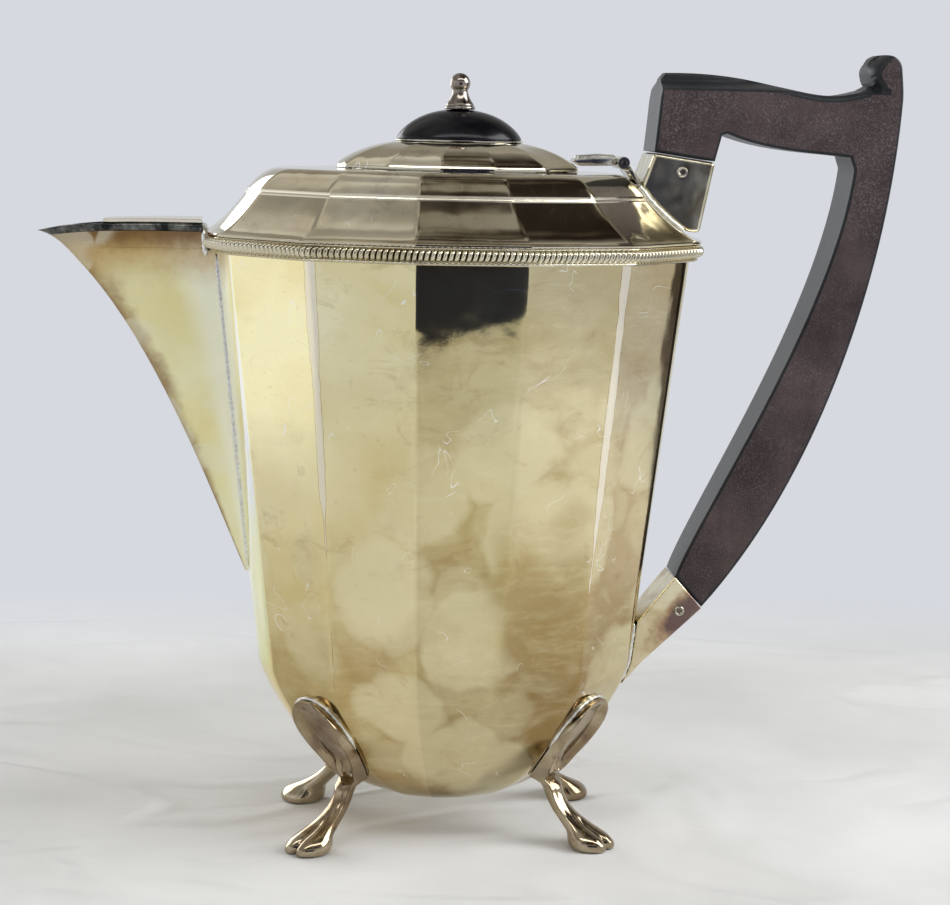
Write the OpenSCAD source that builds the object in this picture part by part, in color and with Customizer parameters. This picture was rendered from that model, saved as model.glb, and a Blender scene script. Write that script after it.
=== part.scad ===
// Silver-plated oval coffee pot with twelve flat panels, a V-shaped spout, a domed hinged lid
// and a wooden handle.
// X runs from the spout (minus) to the handle (plus), Z is up, and the pot stands on Z = 0.

/* [Body] */
// Half length of the body at its top, towards the handle
body_half_x = 66.8; // [60:0.1:72]
// Half width of the body at its top
body_half_y = 50; // [45:0.1:55]
// Height of the body's top edge
body_top_z = 172.1; // [170:0.1:173]
// Lowest point of the bowl
bowl_bottom_z = 9.8; // [8:0.1:12]
// Height where the straight taper turns into the bowl
bowl_start_z = 50; // [40:1:60]
// Part of the full width that is left at the taper's low end
taper_low = 0.804; // [0.75:0.01:0.9]
// Thickness of the sheet metal
sheet = 1.0; // [0.8:0.1:1.4]
// Length of the rounding beside each fold between two panels
fold_round = 2.2; // [1:0.1:3]

/* [Shoulder] */
// Half length of the lid's opening as a part of the body's half length
mouth_part = 0.455; // [0.44:0.005:0.47]
// Height where the hollow moulding meets the round one
break_z = 184.1; // [180:0.1:187]
// Height of the flat shelf around the lid
shelf_z = 190.9; // [188:0.1:193]
// How far the upper mouldings lean towards the spout
shoulder_shift = 1.8; // [0:0.1:3]

/* [Lid and finial] */
// Half length of the lid as a part of the body's half length
lid_part = 0.506; // [0.5:0.002:0.52]
// Height of the lid's lower face
lid_z = 191.4; // [191.3:0.1:192]
// Rise of the lid's dome
dome_rise = 7.6; // [6:0.1:9]
// Distance from the body's axis to the lid's own axis
lid_x = 0.7; // [0:0.1:1]
// Half length of the black disc under the knob
disc_half_x = 17.6; // [15:0.1:19]
// Height of the black disc
disc_h = 8.1; // [6:0.1:10]
// Height of the knob's top above the table
knob_top_z = 218; // [215:0.1:221]

/* [Hinge] */
// Distance from the body's axis to the hinge pin
hinge_x = 46.7; // [46:0.1:48]
// Height of the hinge pin
hinge_z = 194.0; // [193.5:0.1:195]
// Radius of the hinge pin
pin_r = 0.7; // [0.6:0.05:0.9]
// Gap between the pin and the knuckles
pin_gap = 0.04; // [0.02:0.01:0.08]
// Half width of the hinge
hinge_half_y = 7; // [6:0.5:9]

/* [Spout] */
// Reach of the spout's tip from the body's axis
spout_reach = 116.4; // [110:0.1:120]
// Height of the spout's tip
spout_tip_z = 172.2; // [170:0.1:174]
// Half width of the spout where its top meets the body
spout_half_y = 9.5; // [8:0.1:12]

/* [Handle] */
// Thickness of the wooden arm across the pot
arm_thick = 18; // [16:0.5:20]
// Thickness of the wooden grip at its lower end
grip_thick = 14; // [12:0.5:16]
// Farthest reach of the handle from the body's axis
handle_reach = 126.0; // [120:0.1:130]
// Radius of the rolled thumb piece
roll_r = 4.4; // [3.5:0.1:5]

/* [Feet] */
// Half width of each foot's pad
pad_half_w = 6.7; // [5:0.1:8]
// Height of the top of the leaf that holds each foot to the body
leaf_top_z = 43.5; // [40:0.5:46]

/* [Part] */
// Sub-part to draw, or all of them

/* [Hidden] */
$fn = 48;
silver = "#c9c2ac";
black = "#1d1b20";
wood = "#3a2826";
// The frame's origin is below the middle of the whole pot, so the body's axis lies off it.
axis_x = (spout_reach - handle_reach) / 2;
// Folds between the panels in one quarter of the plan, as parts of the half length and half width.
fold_1 = [0.2216, 1];
fold_2 = [0.6407, 0.824];
fold_3 = [0.9521, 0.388];
// Bow of the two end panels: the spout's end is fuller than the handle's.
spout_end = 1.021;
bowl_depth_power = 1.27;
bowl_side_power = 2.76;
taper_low_z = 55;
taper_top_z = 168.5;
band_part = 1.053;
fit_gap = 0.05;
join_gap = 0.3;
seat_gap = 0.1;

// ---------- general shapes ----------
function flatten(list) = [for (part = list) for (item = part) item];
function mix(a, b, t) = a + (b - a) * t;
function bezier(p, t) = pow(1 - t, 3) * p[0] + 3 * pow(1 - t, 2) * t * p[1]
    + 3 * (1 - t) * t * t * p[2] + pow(t, 3) * p[3];
function curve(p, steps) = [for (i = [0:steps]) bezier(p, i / steps)];
function lift(ring, z) = [for (p = ring) [p[0], p[1], z]];

// A closed solid through a list of rings that turn anticlockwise from above, capped at both ends,
// or joined from the last ring to the first when looped.
module loft(rings, looped = false) {
    n = len(rings[0]);
    count = len(rings);
    last = looped ? count - 1 : count - 2;
    sides = [for (i = [0:last]) for (j = [0:n - 1])
        let (a = i * n, b = ((i + 1) % count) * n, k = (j + 1) % n)
        each [[a + j, b + j, b + k], [a + j, b + k, a + k]]];
    caps = looped ? [] : [[for (j = [0:n - 1]) j], [for (j = [n - 1:-1:0]) (count - 1) * n + j]];
    polyhedron(points = flatten(rings), faces = concat(sides, caps), convexity = 8);
}

// An open shell between an outer and an inner grid of points, closed along its four edges.
module sheet_shell(outer, inner) {
    rows = len(outer);
    n = len(outer[0]);
    start = rows * n;
    function quad(a, b, c, d) = [[a, b, c], [a, c, d]];
    skin = [for (i = [0:rows - 2]) for (j = [0:n - 2])
        let (a = i * n + j, b = a + n)
        each concat(quad(a, b, b + 1, a + 1), quad(start + a, start + a + 1, start + b + 1, start + b))];
    low = [for (j = [0:n - 2]) each quad(j, j + 1, start + j + 1, start + j)];
    high = [for (j = [0:n - 2]) let (a = (rows - 1) * n + j)
        each quad(a, start + a, start + a + 1, a + 1)];
    first = [for (i = [0:rows - 2]) let (a = i * n) each quad(a, start + a, start + a + n, a + n)];
    final = [for (i = [0:rows - 2]) let (a = i * n + n - 1)
        each quad(a, a + n, start + a + n, start + a)];
    polyhedron(points = concat(flatten(outer), flatten(inner)),
        faces = concat(skin, low, high, first, final), convexity = 8);
}

module across(half_y) {
    rotate([90, 0, 0]) linear_extrude(2 * half_y, center = true) children();
}

module rod(x, z, r, y_from, y_to) {
    translate([x, y_to, z]) rotate([90, 0, 0]) cylinder(r = r, h = y_to - y_from);
}

// ---------- plan of the body ----------
function bowed(end_part, y) = end_part - (end_part - fold_3[0]) * y * y;
quarter = [fold_3, fold_2, fold_1];
function mirror_x(list) = [for (i = [len(list) - 1:-1:0]) [-list[i][0], list[i][1]]];
function mirror_y(list) = [for (i = [len(list) - 1:-1:0]) [list[i][0], -list[i][1]]];
half_folds = concat(quarter, mirror_x(quarter));
handle_bow = [for (y = [-0.6, 0, 0.6]) [bowed(1, y), y * fold_3[1]]];
spout_bow = [for (y = [0.6, 0, -0.6]) [-bowed(spout_end, y), y * fold_3[1]]];
// Corner points run anticlockwise from the handle's end, with the bows between the third folds.
// The third value says whether a corner is a fold, and so is rounded.
function flagged(list, is_fold) = [for (p = list) [p[0], p[1], is_fold]];
corners = concat(flagged([handle_bow[1], handle_bow[2]], false), flagged(half_folds, true),
    flagged(spout_bow, false), flagged(mirror_y(half_folds), true), flagged([handle_bow[0]], false));
function scaled(p) = [p[0] * body_half_x, p[1] * body_half_y];
function towards(a, b, d) = a + (b - a) * d / norm(b - a);
function soft(i) = let (n = len(corners), a = scaled(corners[(i + n - 1) % n]),
    v = scaled(corners[i]), b = scaled(corners[(i + 1) % n]))
    !corners[i][2] ? [v] : let (p = towards(v, a, fold_round), q = towards(v, b, fold_round))
        [p, (p + 2 * v + q) / 4, q];
plan = [for (i = [0:len(corners) - 1]) each soft(i)];

// The plan scaled by a part of its size, drawn in by an inset, and moved along X.
function slice(part, inset, shift) = [for (p = plan)
    [p[0] * (part - inset / body_half_x) + shift, p[1] * (part - inset / body_half_y)]];

// ---------- body ----------
function taper(z) = 1 - (1 - taper_low) * (taper_top_z - z) / (taper_top_z - taper_low_z);
function bowl_depth(z) = max(0, (bowl_start_z - z) / (bowl_start_z - bowl_bottom_z));
function bowl(z) = pow(1 - pow(bowl_depth(z), bowl_depth_power), 1 / bowl_side_power);
function width_at(z) = taper(z) * bowl(z);
function handle_side(z) = body_half_x * width_at(z);
function spout_side(z, y) = body_half_x * width_at(z)
    * bowed(spout_end, y / (fold_3[1] * body_half_y * width_at(z)));
bowl_levels = [for (a = [4, 12, 20, 28, 37, 46, 56, 66, 78, 90])
    mix(bowl_bottom_z, bowl_start_z, 1 - cos(a))];
body_levels = concat(bowl_levels, [65, 90, 125, 150, body_top_z]);
hole_r = 1.5;
hole_rows = 5;
hole_low_z = 112;
hole_pitch_z = 9.5;
hole_pitch_y = 4.6;
// Part of the width that the bowl's floor keeps on its inside.
floor_part = 0.12;

function inner_z(z) = mix(bowl_bottom_z + sheet, body_top_z,
    (z - bowl_bottom_z) / (body_top_z - bowl_bottom_z));

module body() {
    outer = [for (z = body_levels) lift(slice(width_at(z), 0, 0), z)];
    inner = [for (i = [len(body_levels) - 1:-1:0]) let (z = body_levels[i])
        lift(slice(max(width_at(z), floor_part), sheet, 0), inner_z(z))];
    color(silver) translate([axis_x, 0, 0]) difference() {
        loft(concat(outer, inner));
        for (row = [0:hole_rows - 1]) for (side = [-0.5, 0.5])
            let (z = hole_low_z + row * hole_pitch_z)
            translate([-body_half_x * 1.1, side * hole_pitch_y, z]) rotate([0, 90, 0])
                cylinder(r = hole_r, h = body_half_x * 0.5);
    }
}

// ---------- shoulder ----------
break_part = 0.834;
shelf_part = 0.7;
rim_part = 1.035;
rim_z = 173.2;
hollow_power = 1.45;
round_power = 1.75;
shelf_rise = 0.3;
function lean(part) = -shoulder_shift * min(1, max(0, (rim_part - part) / (rim_part - break_part)))
    * min(1, max(0, (part - mouth_part) / (shelf_part - mouth_part)));
function hollow_z(u) = mix(rim_z, break_z, pow(u, hollow_power));
function round_z(u) = mix(break_z, shelf_z, 1 - pow(1 - u, round_power));
hollow_line = [for (u = [0, 0.2, 0.4, 0.6, 0.8, 1]) [mix(rim_part, break_part, u), hollow_z(u)]];
round_line = [for (u = [0.15, 0.3, 0.45, 0.6, 0.8, 1]) [mix(break_part, shelf_part, u), round_z(u)]];
flange_z = body_top_z + seat_gap;
flange_part = band_part - 0.008;
mouth_z = shelf_z + shelf_rise;
shoulder_line = concat([[flange_part, flange_z], [flange_part, rim_z - 0.3]], hollow_line, round_line,
    [[lid_part + 0.03, mouth_z], [mouth_part, mouth_z]]);
// Rings of the outer line that the inner line leaves out, where the flange is solid.
solid_rings = 4;
flange_in_part = 0.985;

// Moulded top of the pot, from the flange on the body to the lid's opening.
module shoulder() {
    n = len(shoulder_line);
    outer = [for (p = shoulder_line) lift(slice(p[0], 0, lean(p[0])), p[1])];
    inner = [for (i = [n - 1:-1:solid_rings]) let (p = shoulder_line[i])
        lift(slice(p[0], p[0] == mouth_part ? 0 : sheet * 0.7, lean(p[0])), p[1] - sheet)];
    flange = lift(slice(flange_in_part, 0, 0), flange_z);
    color(silver) translate([axis_x, 0, 0]) loft(concat(outer, inner, [flange]), true);
}

// ---------- gadroon border ----------
border_low_z = 167.4;
// Gap between the body and the border, and the border's outline, as parts of the body's half length.
border_gap = 0.004;
border_line = [[0, 0], [0.026, 0.2], [0.03, 1.2], [0.02, 1.4], [0.041, 2.0], [0.047, 2.9],
    [0.041, 3.9], [0.035, 4.7]];
border_lip = 1.2;

module gadroon_border() {
    start = width_at(body_top_z) + border_gap;
    outer = [for (p = border_line) lift(slice(start + p[0], 0, 0), border_low_z + p[1])];
    top = border_low_z + border_line[len(border_line) - 1][1];
    inner = [lift(slice(start, 0, 0), top), lift(slice(start, 0, 0), border_low_z + border_lip)];
    color(silver) translate([axis_x, 0, 0]) loft(concat(outer, inner), true);
}

// ---------- spout ----------
spout_low = [-58.4, 76];
keel = [spout_low, [-68.4, 99.2], [-91, 160.6], [-spout_reach, spout_tip_z]];
spout_wall = 0.9;
keel_wall = 2.5;
lip_rise = 3.0;
lip_start_x = -66;
flank = [0, 0.25, 0.5, 0.72, 0.88, 0.96, 1];
flank_power = 0.62;
// The spout's sides follow the body up to the border, then stand clear of the border and the flange.
clear_z = border_low_z - 0.3;
clear_x = -body_half_x * band_part * spout_end - join_gap;
spout_levels = concat([spout_low[1]], [for (z = [80:6.5:161]) z],
    [164.5, clear_z - 0.1, clear_z, 169.5, 171.2, spout_tip_z]);
function keel_step(z, low = 0, high = 1, tries = 18) = let (middle = (low + high) / 2)
    tries == 0 ? middle : bezier(keel, middle)[1] < z ? keel_step(z, middle, high, tries - 1)
    : keel_step(z, low, middle, tries - 1);
function keel_x(z) = bezier(keel, keel_step(z))[0];
function joint_half_y(z) = mix(1.0, spout_half_y,
    pow((z - spout_low[1]) / (spout_tip_z - spout_low[1]), 0.8));
function lip_z(x) = spout_tip_z + lip_rise * (1 - pow((lip_start_x - x) / (spout_reach + lip_start_x), 4));
function back_x(z, half_y) = z < clear_z ? -spout_side(z, half_y) - join_gap : clear_x;
function spout_section(z, nose_x, half_y) = let (back = back_x(z, half_y), nose = min(nose_x, back - 0.1))
    [for (side = [1, -1]) for (i = side > 0 ? [0:6] : [5:-1:0]) let (x = mix(back, nose, flank[i]))
        [x, side * half_y * pow(1 - flank[i], flank_power), z == spout_tip_z ? lip_z(x) : z]];

// V-shaped spout with a sharp keel, open along its top and towards the body.
module spout() {
    outer = [for (z = spout_levels) spout_section(z, keel_x(z), joint_half_y(z))];
    inner = [for (z = spout_levels)
        spout_section(z, keel_x(z) + keel_wall, max(joint_half_y(z) - spout_wall, 0.3))];
    color(silver) translate([axis_x, 0, 0]) sheet_shell(outer, inner);
}

cover_start_x = -98;
cover_thick = 1.1;

// Flat plate that closes the rear half of the spout's top.
module spout_cover() {
    function half(x) = spout_half_y * pow((x + spout_reach) / (clear_x + spout_reach), flank_power);
    rings = [for (t = [0:0.125:1]) let (x = mix(cover_start_x, clear_x, t), y = half(x),
        low = lip_z(x) + seat_gap, top = low + cover_thick)
        [[x, -y, low], [x, y, low], [x, y, top], [x, -y, top]]];
    color(silver) translate([axis_x, 0, 0]) loft(rings);
}

// ---------- lid ----------
dome_power = 3.2;
dome_root = 0.87;
dome_edge = 0.7;
flat_part = 0.26;
collar_part = 0.44;
function dome_z(part) = lid_z + dome_edge
    + dome_rise * pow(1 - pow(min(1, part / lid_part), dome_power), dome_root);
dome_parts = [0.506, 0.49, 0.47, 0.44, 0.4, 0.36, 0.32, 0.29, flat_part];
lid_top_z = dome_z(flat_part);
stud_hole_r = 1.7;

module lid() {
    outer = concat([lift(slice(lid_part, 0, 0), lid_z)],
        [for (s = dome_parts) lift(slice(min(s, lid_part), 0, 0), dome_z(s))]);
    inner = [for (i = [len(dome_parts) - 1:-1:2]) let (s = dome_parts[i])
        lift(slice(s, sheet * 0.6, 0), dome_z(s) - sheet)];
    seat = [lift(slice(0.46, 0, 0), lid_z)];
    color(silver) translate([axis_x + lid_x, 0, 0]) difference() {
        union() {
            loft(concat(outer, inner, seat), true);
            translate([0, 0, lid_top_z - sheet]) linear_extrude(sheet) polygon(slice(flat_part, 0, 0));
        }
        translate([0, 0, lid_z]) cylinder(r = stud_hole_r, h = 2 * dome_rise);
    }
}

bezel_low_z = 187.4;
bezel_wall = 0.8;

// Collar under the lid that drops into the mouth of the shoulder.
module lid_bezel() {
    top_in = dome_z(collar_part) - 2 * sheet;
    rings = [lift(slice(collar_part, 0, 0), bezel_low_z), lift(slice(collar_part, 0, 0), top_in),
        lift(slice(collar_part, bezel_wall, 0), top_in),
        lift(slice(collar_part, bezel_wall, 0), bezel_low_z)];
    color(silver) translate([axis_x + lid_x, 0, 0]) loft(rings, true);
}

// ---------- hinge ----------
knuckle_r = 1.75;
middle_half_y = hinge_half_y * 0.48;
knuckle_gap = 0.15;

// Plate on the lid with the middle knuckle.
module hinge_lid_leaf() {
    color(silver) translate([axis_x, 0, 0]) difference() {
        union() {
            across(middle_half_y) polygon([[32.6, 194.0], [34.9, 192.9], [hinge_x - 4, hinge_z - 0.9],
                [hinge_x, hinge_z - 0.4], [hinge_x, hinge_z + knuckle_r - 0.02],
                [hinge_x - 2.6, hinge_z + knuckle_r - 0.05], [40.5, 195.4], [34.2, 194.4]]);
            rod(hinge_x, hinge_z, knuckle_r, -middle_half_y, middle_half_y);
        }
        rod(hinge_x, hinge_z, pin_r + pin_gap, -hinge_half_y, hinge_half_y);
    }
}

// Plate on the shoulder with the two outer knuckles.
module hinge_body_leaf() {
    color(silver) translate([axis_x, 0, 0]) difference() {
        union() {
            for (side = [-1, 1]) let (a = side * (middle_half_y + knuckle_gap), b = side * hinge_half_y)
                rod(hinge_x, hinge_z, knuckle_r, min(a, b), max(a, b));
            difference() {
                across(hinge_half_y) polygon([[hinge_x + 0.3, hinge_z - 1.7], [hinge_x + 1.7, hinge_z],
                    [51.4, 189.4], [50.8, 188.0]]);
                rod(hinge_x, hinge_z, knuckle_r + knuckle_gap, -middle_half_y - knuckle_gap,
                    middle_half_y + knuckle_gap);
            }
        }
        rod(hinge_x, hinge_z, pin_r + pin_gap, -hinge_half_y - 1, hinge_half_y + 1);
    }
}

module hinge_pin() {
    color(silver) translate([axis_x, 0, 0])
        rod(hinge_x, hinge_z, pin_r, -hinge_half_y - 0.2, hinge_half_y + 0.2);
}

// ---------- finial ----------
plate_thick = 0.5;
oval = body_half_y / body_half_x;
disc_z = lid_top_z + fit_gap + plate_thick + fit_gap;
disc_steps = [0, 12, 25, 38, 50, 62, 74, 82];
disc_side_power = 0.76;
disc_round_power = 2.3;
stud_r = 1.5;

// Thin silver plate that edges the black disc.
module finial_plate() {
    color(silver) translate([axis_x + lid_x, 0, lid_top_z + fit_gap]) difference() {
        linear_extrude(plate_thick) scale([1, oval]) circle(r = disc_half_x + 0.5, $fn = 64);
        translate([0, 0, -1]) cylinder(r = stud_hole_r, h = plate_thick + 2);
    }
}

function disc_rise(r) = disc_h * pow(1 - pow(r, disc_round_power), disc_side_power);

// Black domed disc with an oval outline.
module finial_disc() {
    points = 48;
    rings = concat([[for (i = [0:points - 1]) let (a = 360 * i / points)
            [disc_half_x * cos(a), disc_half_x * oval * sin(a), 0]]],
        [for (step = disc_steps) let (r = cos(step)) [for (i = [0:points - 1]) let (a = 360 * i / points)
            [disc_half_x * r * cos(a), disc_half_x * oval * r * sin(a), 0.3 + disc_rise(r)]]]);
    color(black) translate([axis_x + lid_x, 0, disc_z]) difference() {
        loft(rings);
        translate([0, 0, -1]) cylinder(r = stud_hole_r, h = disc_h + 3);
    }
}

knob_base_z = disc_z + disc_h + 0.25;
ball_r = 2.85;

// Turned knob: collar, waist and ball.
module finial_knob() {
    ball_z = knob_top_z - knob_base_z - ball_r;
    color(silver) translate([axis_x + lid_x, 0, knob_base_z]) difference() {
        rotate_extrude() polygon(concat([[0, 0], [4.3, 0], [4.3, 0.8], [3.9, 1.1], [3.9, 1.6], [3.2, 2.5],
            [2.5, 3.8], [2.25, 4.7]], [for (a = [-38:12:90]) [ball_r * cos(a), ball_z + ball_r * sin(a)]],
            [[0, ball_z + ball_r]]));
        translate([0, 0, -1]) cylinder(r = stud_r + 0.05, h = 4.2);
    }
}

stud_low_z = lid_top_z - sheet - 3.4;

module finial_stud() {
    color(silver) translate([axis_x + lid_x, 0, stud_low_z])
        cylinder(r = stud_r, h = knob_base_z + 3.1 - stud_low_z);
}

module finial_nut() {
    nut_h = 2.4;
    color(silver) translate([axis_x + lid_x, 0, lid_top_z - sheet - nut_h - fit_gap]) difference() {
        cylinder(r = 3.4, h = nut_h, $fn = 6);
        translate([0, 0, -1]) cylinder(r = stud_r + 0.05, h = nut_h + 2);
    }
}

// ---------- handle ----------
arm_top = [[58.6, 219.4], [93.4, 220.5], [97.7, 209.1], [118, 216.6]];
arm_under = [[75.6, 202.8], [88.3, 197.6], [105.1, 197.8], [111.4, 196.9]];
grip_outer = [[73.85, 66.25], [108, 106.2], [124, 166.8], [handle_reach, 213.4]];
grip_inner = [[65.75, 75.45], [71.9, 94], [108.5, 151.8], [112.6, 193.5]];
roll_x = handle_reach - roll_r - 0.1;
roll_z = 221.5;
socket_top = [[54.9, 197.1], [72.4, 194.7]];
socket_end = [[65.6, 75.3], [73.7, 66.1]];
pin_up = [62.9, 191.9];
pin_down = [67.1, 65.3];
handle_pin_r = 1.5;
// Outline of the arm's end above its socket.
arm_end = [[57.2, 217.6], [56.2, 212], [55.6, 204.8], [54.9, 197.4], [72.4, 195], [74.2, 202.3]];
tenon_depth = 9;
tenon_inset = 1.6;
// Heights between which the handle's thickness grows from the grip's to the arm's.
thick_z = [66, 176];
function thick_at(z) = mix(grip_thick, arm_thick,
    min(1, max(0, (z - thick_z[0]) / (thick_z[1] - thick_z[0]))));
lower_tenon = [[66.7, 74.8], [72.7, 67.6], [66.5, 61.8], [60.9, 67.9]];
lower_pocket = [[66.6, 75.1], [73.0, 67.8], [66.5, 61.5], [60.6, 67.6]];

module grip_outline() {
    roll = [for (a = [-60:20:150]) [roll_x + roll_r * cos(a), roll_z + roll_r * sin(a)]];
    top = [for (i = [10:-1:0]) bezier(arm_top, i / 10)];
    under = curve(arm_under, 6);
    inner = [for (i = [14:-1:0]) bezier(grip_inner, i / 14)];
    polygon(concat(curve(grip_outer, 16), roll, top, arm_end, under, inner));
}

module handle_grip() {
    up = [socket_top[0] + [tenon_inset, 0.3], socket_top[1] + [-tenon_inset, 0.4]];
    heights = [0, thick_z[0], thick_z[1], 240];
    color(wood) translate([axis_x, 0, 0]) difference() {
        union() {
            intersection() {
                across(arm_thick / 2) grip_outline();
                rotate([90, 0, 90]) translate([0, 0, 40]) linear_extrude(100)
                    polygon(concat([for (z = heights) [thick_at(z) / 2, z]],
                        [for (i = [3:-1:0]) [-thick_at(heights[i]) / 2, heights[i]]]));
            }
            across(arm_thick / 2 - tenon_inset) polygon([up[0] + [0, 0.5], up[1] + [0, 0.5],
                up[1] + [-1.2, -tenon_depth], up[0] + [0.2, -tenon_depth]]);
            across(grip_thick / 2 - tenon_inset) polygon(lower_tenon);
        }
        rod(pin_up[0], pin_up[1], handle_pin_r + fit_gap, -20, 20);
        rod(pin_down[0], pin_down[1], handle_pin_r + fit_gap, -20, 20);
    }
}

function shoulder_x(part) = part * body_half_x + lean(part) + join_gap;
socket_foot = [for (p = concat(hollow_line, round_line)) if (p[1] > 174.6 && p[1] < 187.5)
    [shoulder_x(p[0]), p[1] + join_gap]];

// Sleeve on the shoulder that takes the arm's tenon.
module upper_socket() {
    half = arm_thick / 2 + 0.7;
    color(silver) translate([axis_x, 0, 0]) difference() {
        across(half) polygon(concat([socket_top[1], [68.6, 175.0]], socket_foot, [socket_top[0]]));
        across(half - 2.2) polygon([socket_top[0] + [1.5, 1], socket_top[1] + [-1.5, 1],
            socket_top[1] + [-2.7, -tenon_depth - 0.4], socket_top[0] + [1.7, -tenon_depth - 0.4]]);
        rod(pin_up[0], pin_up[1], handle_pin_r + fit_gap, -20, 20);
    }
}

// Sleeve on the lower body that takes the grip's tenon.
module lower_socket() {
    half = grip_thick / 2 + 0.6;
    body_edge = [for (z = [43.4, 48, 52, 57, 61.9]) [handle_side(z) + join_gap, z]];
    color(silver) translate([axis_x, 0, 0]) difference() {
        across(half) polygon(concat(body_edge, [socket_end[0], socket_end[1], [64.6, 57.6], [56.4, 50]]));
        across(half - 2.1) polygon(lower_pocket);
        rod(pin_down[0], pin_down[1], handle_pin_r + fit_gap, -20, 20);
    }
}

module handle_pin(place, half) {
    color(silver) translate([axis_x, 0, 0]) rod(place[0], place[1], handle_pin_r, -half, half);
}

// ---------- feet ----------
panel_dir = [body_half_y * (fold_2[1] - fold_3[1]), body_half_x * (fold_3[0] - fold_2[0])]
    / norm([body_half_y * (fold_2[1] - fold_3[1]), body_half_x * (fold_3[0] - fold_2[0])]);
side_dir = [-panel_dir[1], panel_dir[0]];
panel_reach = scaled(fold_2) * panel_dir;
panel_mid = (scaled(fold_2) + scaled(fold_3)) / 2 * side_dir;
// The pad stands to one side of the panel's middle, and the leg leads up to the middle at this height.
pad_side = -10.6;
leg_top_z = 18;
// Pad and leg: height, reach of the middle along the panel's normal, half depth, half width.
leg_line = [[0, 45.9, 5, pad_half_w - 1.1], [0.8, 45.9, 6.2, pad_half_w - 0.1], [2.2, 45.7, 6.3, pad_half_w],
    [3.8, 44.9, 5.6, 6.0], [5.2, 43.3, 4.6, 5.0], [7, 40.6, 3.7, 4.2], [9.5, 37.6, 3.1, 3.6],
    [12.5, 35, 2.7, 3.4], [15.5, 33.4, 2.8, 3.7], [leg_top_z, 32.3, 3.1, 4.5]];
// Leaf: height, thickness and half width.
leaf_line = [[20.5, 4.4, 5.4], [24, 3.1, 6.9], [28, 2.4, 8.3], [33, 2.0, 9.2], [38, 1.9, 8.4],
    [41.5, 1.7, 5.6], [leaf_top_z, 1.2, 2]];
foot_points = 20;
function side_at(z) = mix(pad_side, panel_mid * width_at(max(z, leg_top_z)), min(1, z / leg_top_z));
function foot_ring(z, reach, depth_in, depth_out, half_w) = [for (i = [0:foot_points - 1])
    let (a = 360 * i / foot_points, out = reach + (cos(a) > 0 ? depth_out : depth_in) * cos(a),
        p = out * panel_dir + (side_at(z) + half_w * sin(a)) * side_dir)
    [p[0], p[1], z]];

module foot(flip_x, flip_y) {
    rings = concat([for (p = leg_line) foot_ring(p[0], p[1], p[2], p[2], p[3])],
        [for (p = leaf_line) foot_ring(p[0], panel_reach * width_at(p[0]) + join_gap, 0, p[1], p[2])]);
    color(silver) translate([axis_x, 0, 0]) mirror([flip_x, 0, 0]) mirror([0, flip_y, 0]) loft(rings);
}

body();
shoulder();
gadroon_border();
spout();
spout_cover();
lid();
lid_bezel();
hinge_lid_leaf();
hinge_body_leaf();
hinge_pin();
finial_plate();
finial_disc();
finial_knob();
finial_stud();
finial_nut();
handle_grip();
upper_socket();
lower_socket();
handle_pin(pin_up, arm_thick / 2 + 1.2);  // upper_handle_pin
handle_pin(pin_down, grip_thick / 2 + 1.1);  // lower_handle_pin
foot(1, 1);  // foot_front_left
foot(1, 0);  // foot_front_right
foot(0, 1);  // foot_rear_left
foot(0, 0);  // foot_rear_right
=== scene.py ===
"""Silver-plated coffee pot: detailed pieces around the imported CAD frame.

Shapes are worked out in millimetres from the body's axis and placed in the CAD frame by place().
"""

from math import copysign, cos, exp, hypot, pi, radians, sin, sqrt, tau

import bmesh
import bpy
import numpy as np
from mathutils import Matrix, Vector


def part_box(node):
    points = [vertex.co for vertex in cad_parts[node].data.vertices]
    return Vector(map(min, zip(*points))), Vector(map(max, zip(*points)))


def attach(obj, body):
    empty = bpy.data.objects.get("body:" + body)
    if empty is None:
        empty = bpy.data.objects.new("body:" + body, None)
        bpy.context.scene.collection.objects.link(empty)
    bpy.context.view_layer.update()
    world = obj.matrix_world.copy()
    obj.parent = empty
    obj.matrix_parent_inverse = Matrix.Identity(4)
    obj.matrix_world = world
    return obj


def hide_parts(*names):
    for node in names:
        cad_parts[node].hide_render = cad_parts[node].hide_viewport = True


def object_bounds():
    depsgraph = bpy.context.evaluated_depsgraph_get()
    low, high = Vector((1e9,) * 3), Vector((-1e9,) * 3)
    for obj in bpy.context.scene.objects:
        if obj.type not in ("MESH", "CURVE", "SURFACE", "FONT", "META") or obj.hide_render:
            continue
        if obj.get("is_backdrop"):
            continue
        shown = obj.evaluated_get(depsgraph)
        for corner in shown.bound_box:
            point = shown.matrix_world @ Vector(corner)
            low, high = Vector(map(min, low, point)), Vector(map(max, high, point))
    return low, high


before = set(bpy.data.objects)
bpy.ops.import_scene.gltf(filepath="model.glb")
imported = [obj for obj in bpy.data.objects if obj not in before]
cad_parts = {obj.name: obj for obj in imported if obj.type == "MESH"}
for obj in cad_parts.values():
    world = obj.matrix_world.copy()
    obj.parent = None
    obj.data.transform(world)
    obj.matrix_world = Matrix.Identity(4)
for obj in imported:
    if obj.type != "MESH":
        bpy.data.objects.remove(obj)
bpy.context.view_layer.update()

MM = 0.001
LID_X = 0.7
knob_low, knob_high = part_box("finial_knob")
AXIS_X = (knob_low.x + knob_high.x) / 2 / MM - LID_X
BODY_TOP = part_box("body")[1].z / MM


def mix(a, b, t):
    return a + (b - a) * t


def smooth(a, b, x):
    """0 below a, 1 above b, and a smooth step between them."""
    t = min(1.0, max(0.0, (x - a) / (b - a)))
    return t * t * (3 - 2 * t)


def bezier(p, t):
    a, b, c, d = (np.array(q, float) for q in p)
    return (1 - t) ** 3 * a + 3 * (1 - t) ** 2 * t * b + 3 * (1 - t) * t * t * c + t**3 * d


def curve(p, steps):
    return [bezier(p, i / steps) for i in range(steps + 1)]


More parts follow.
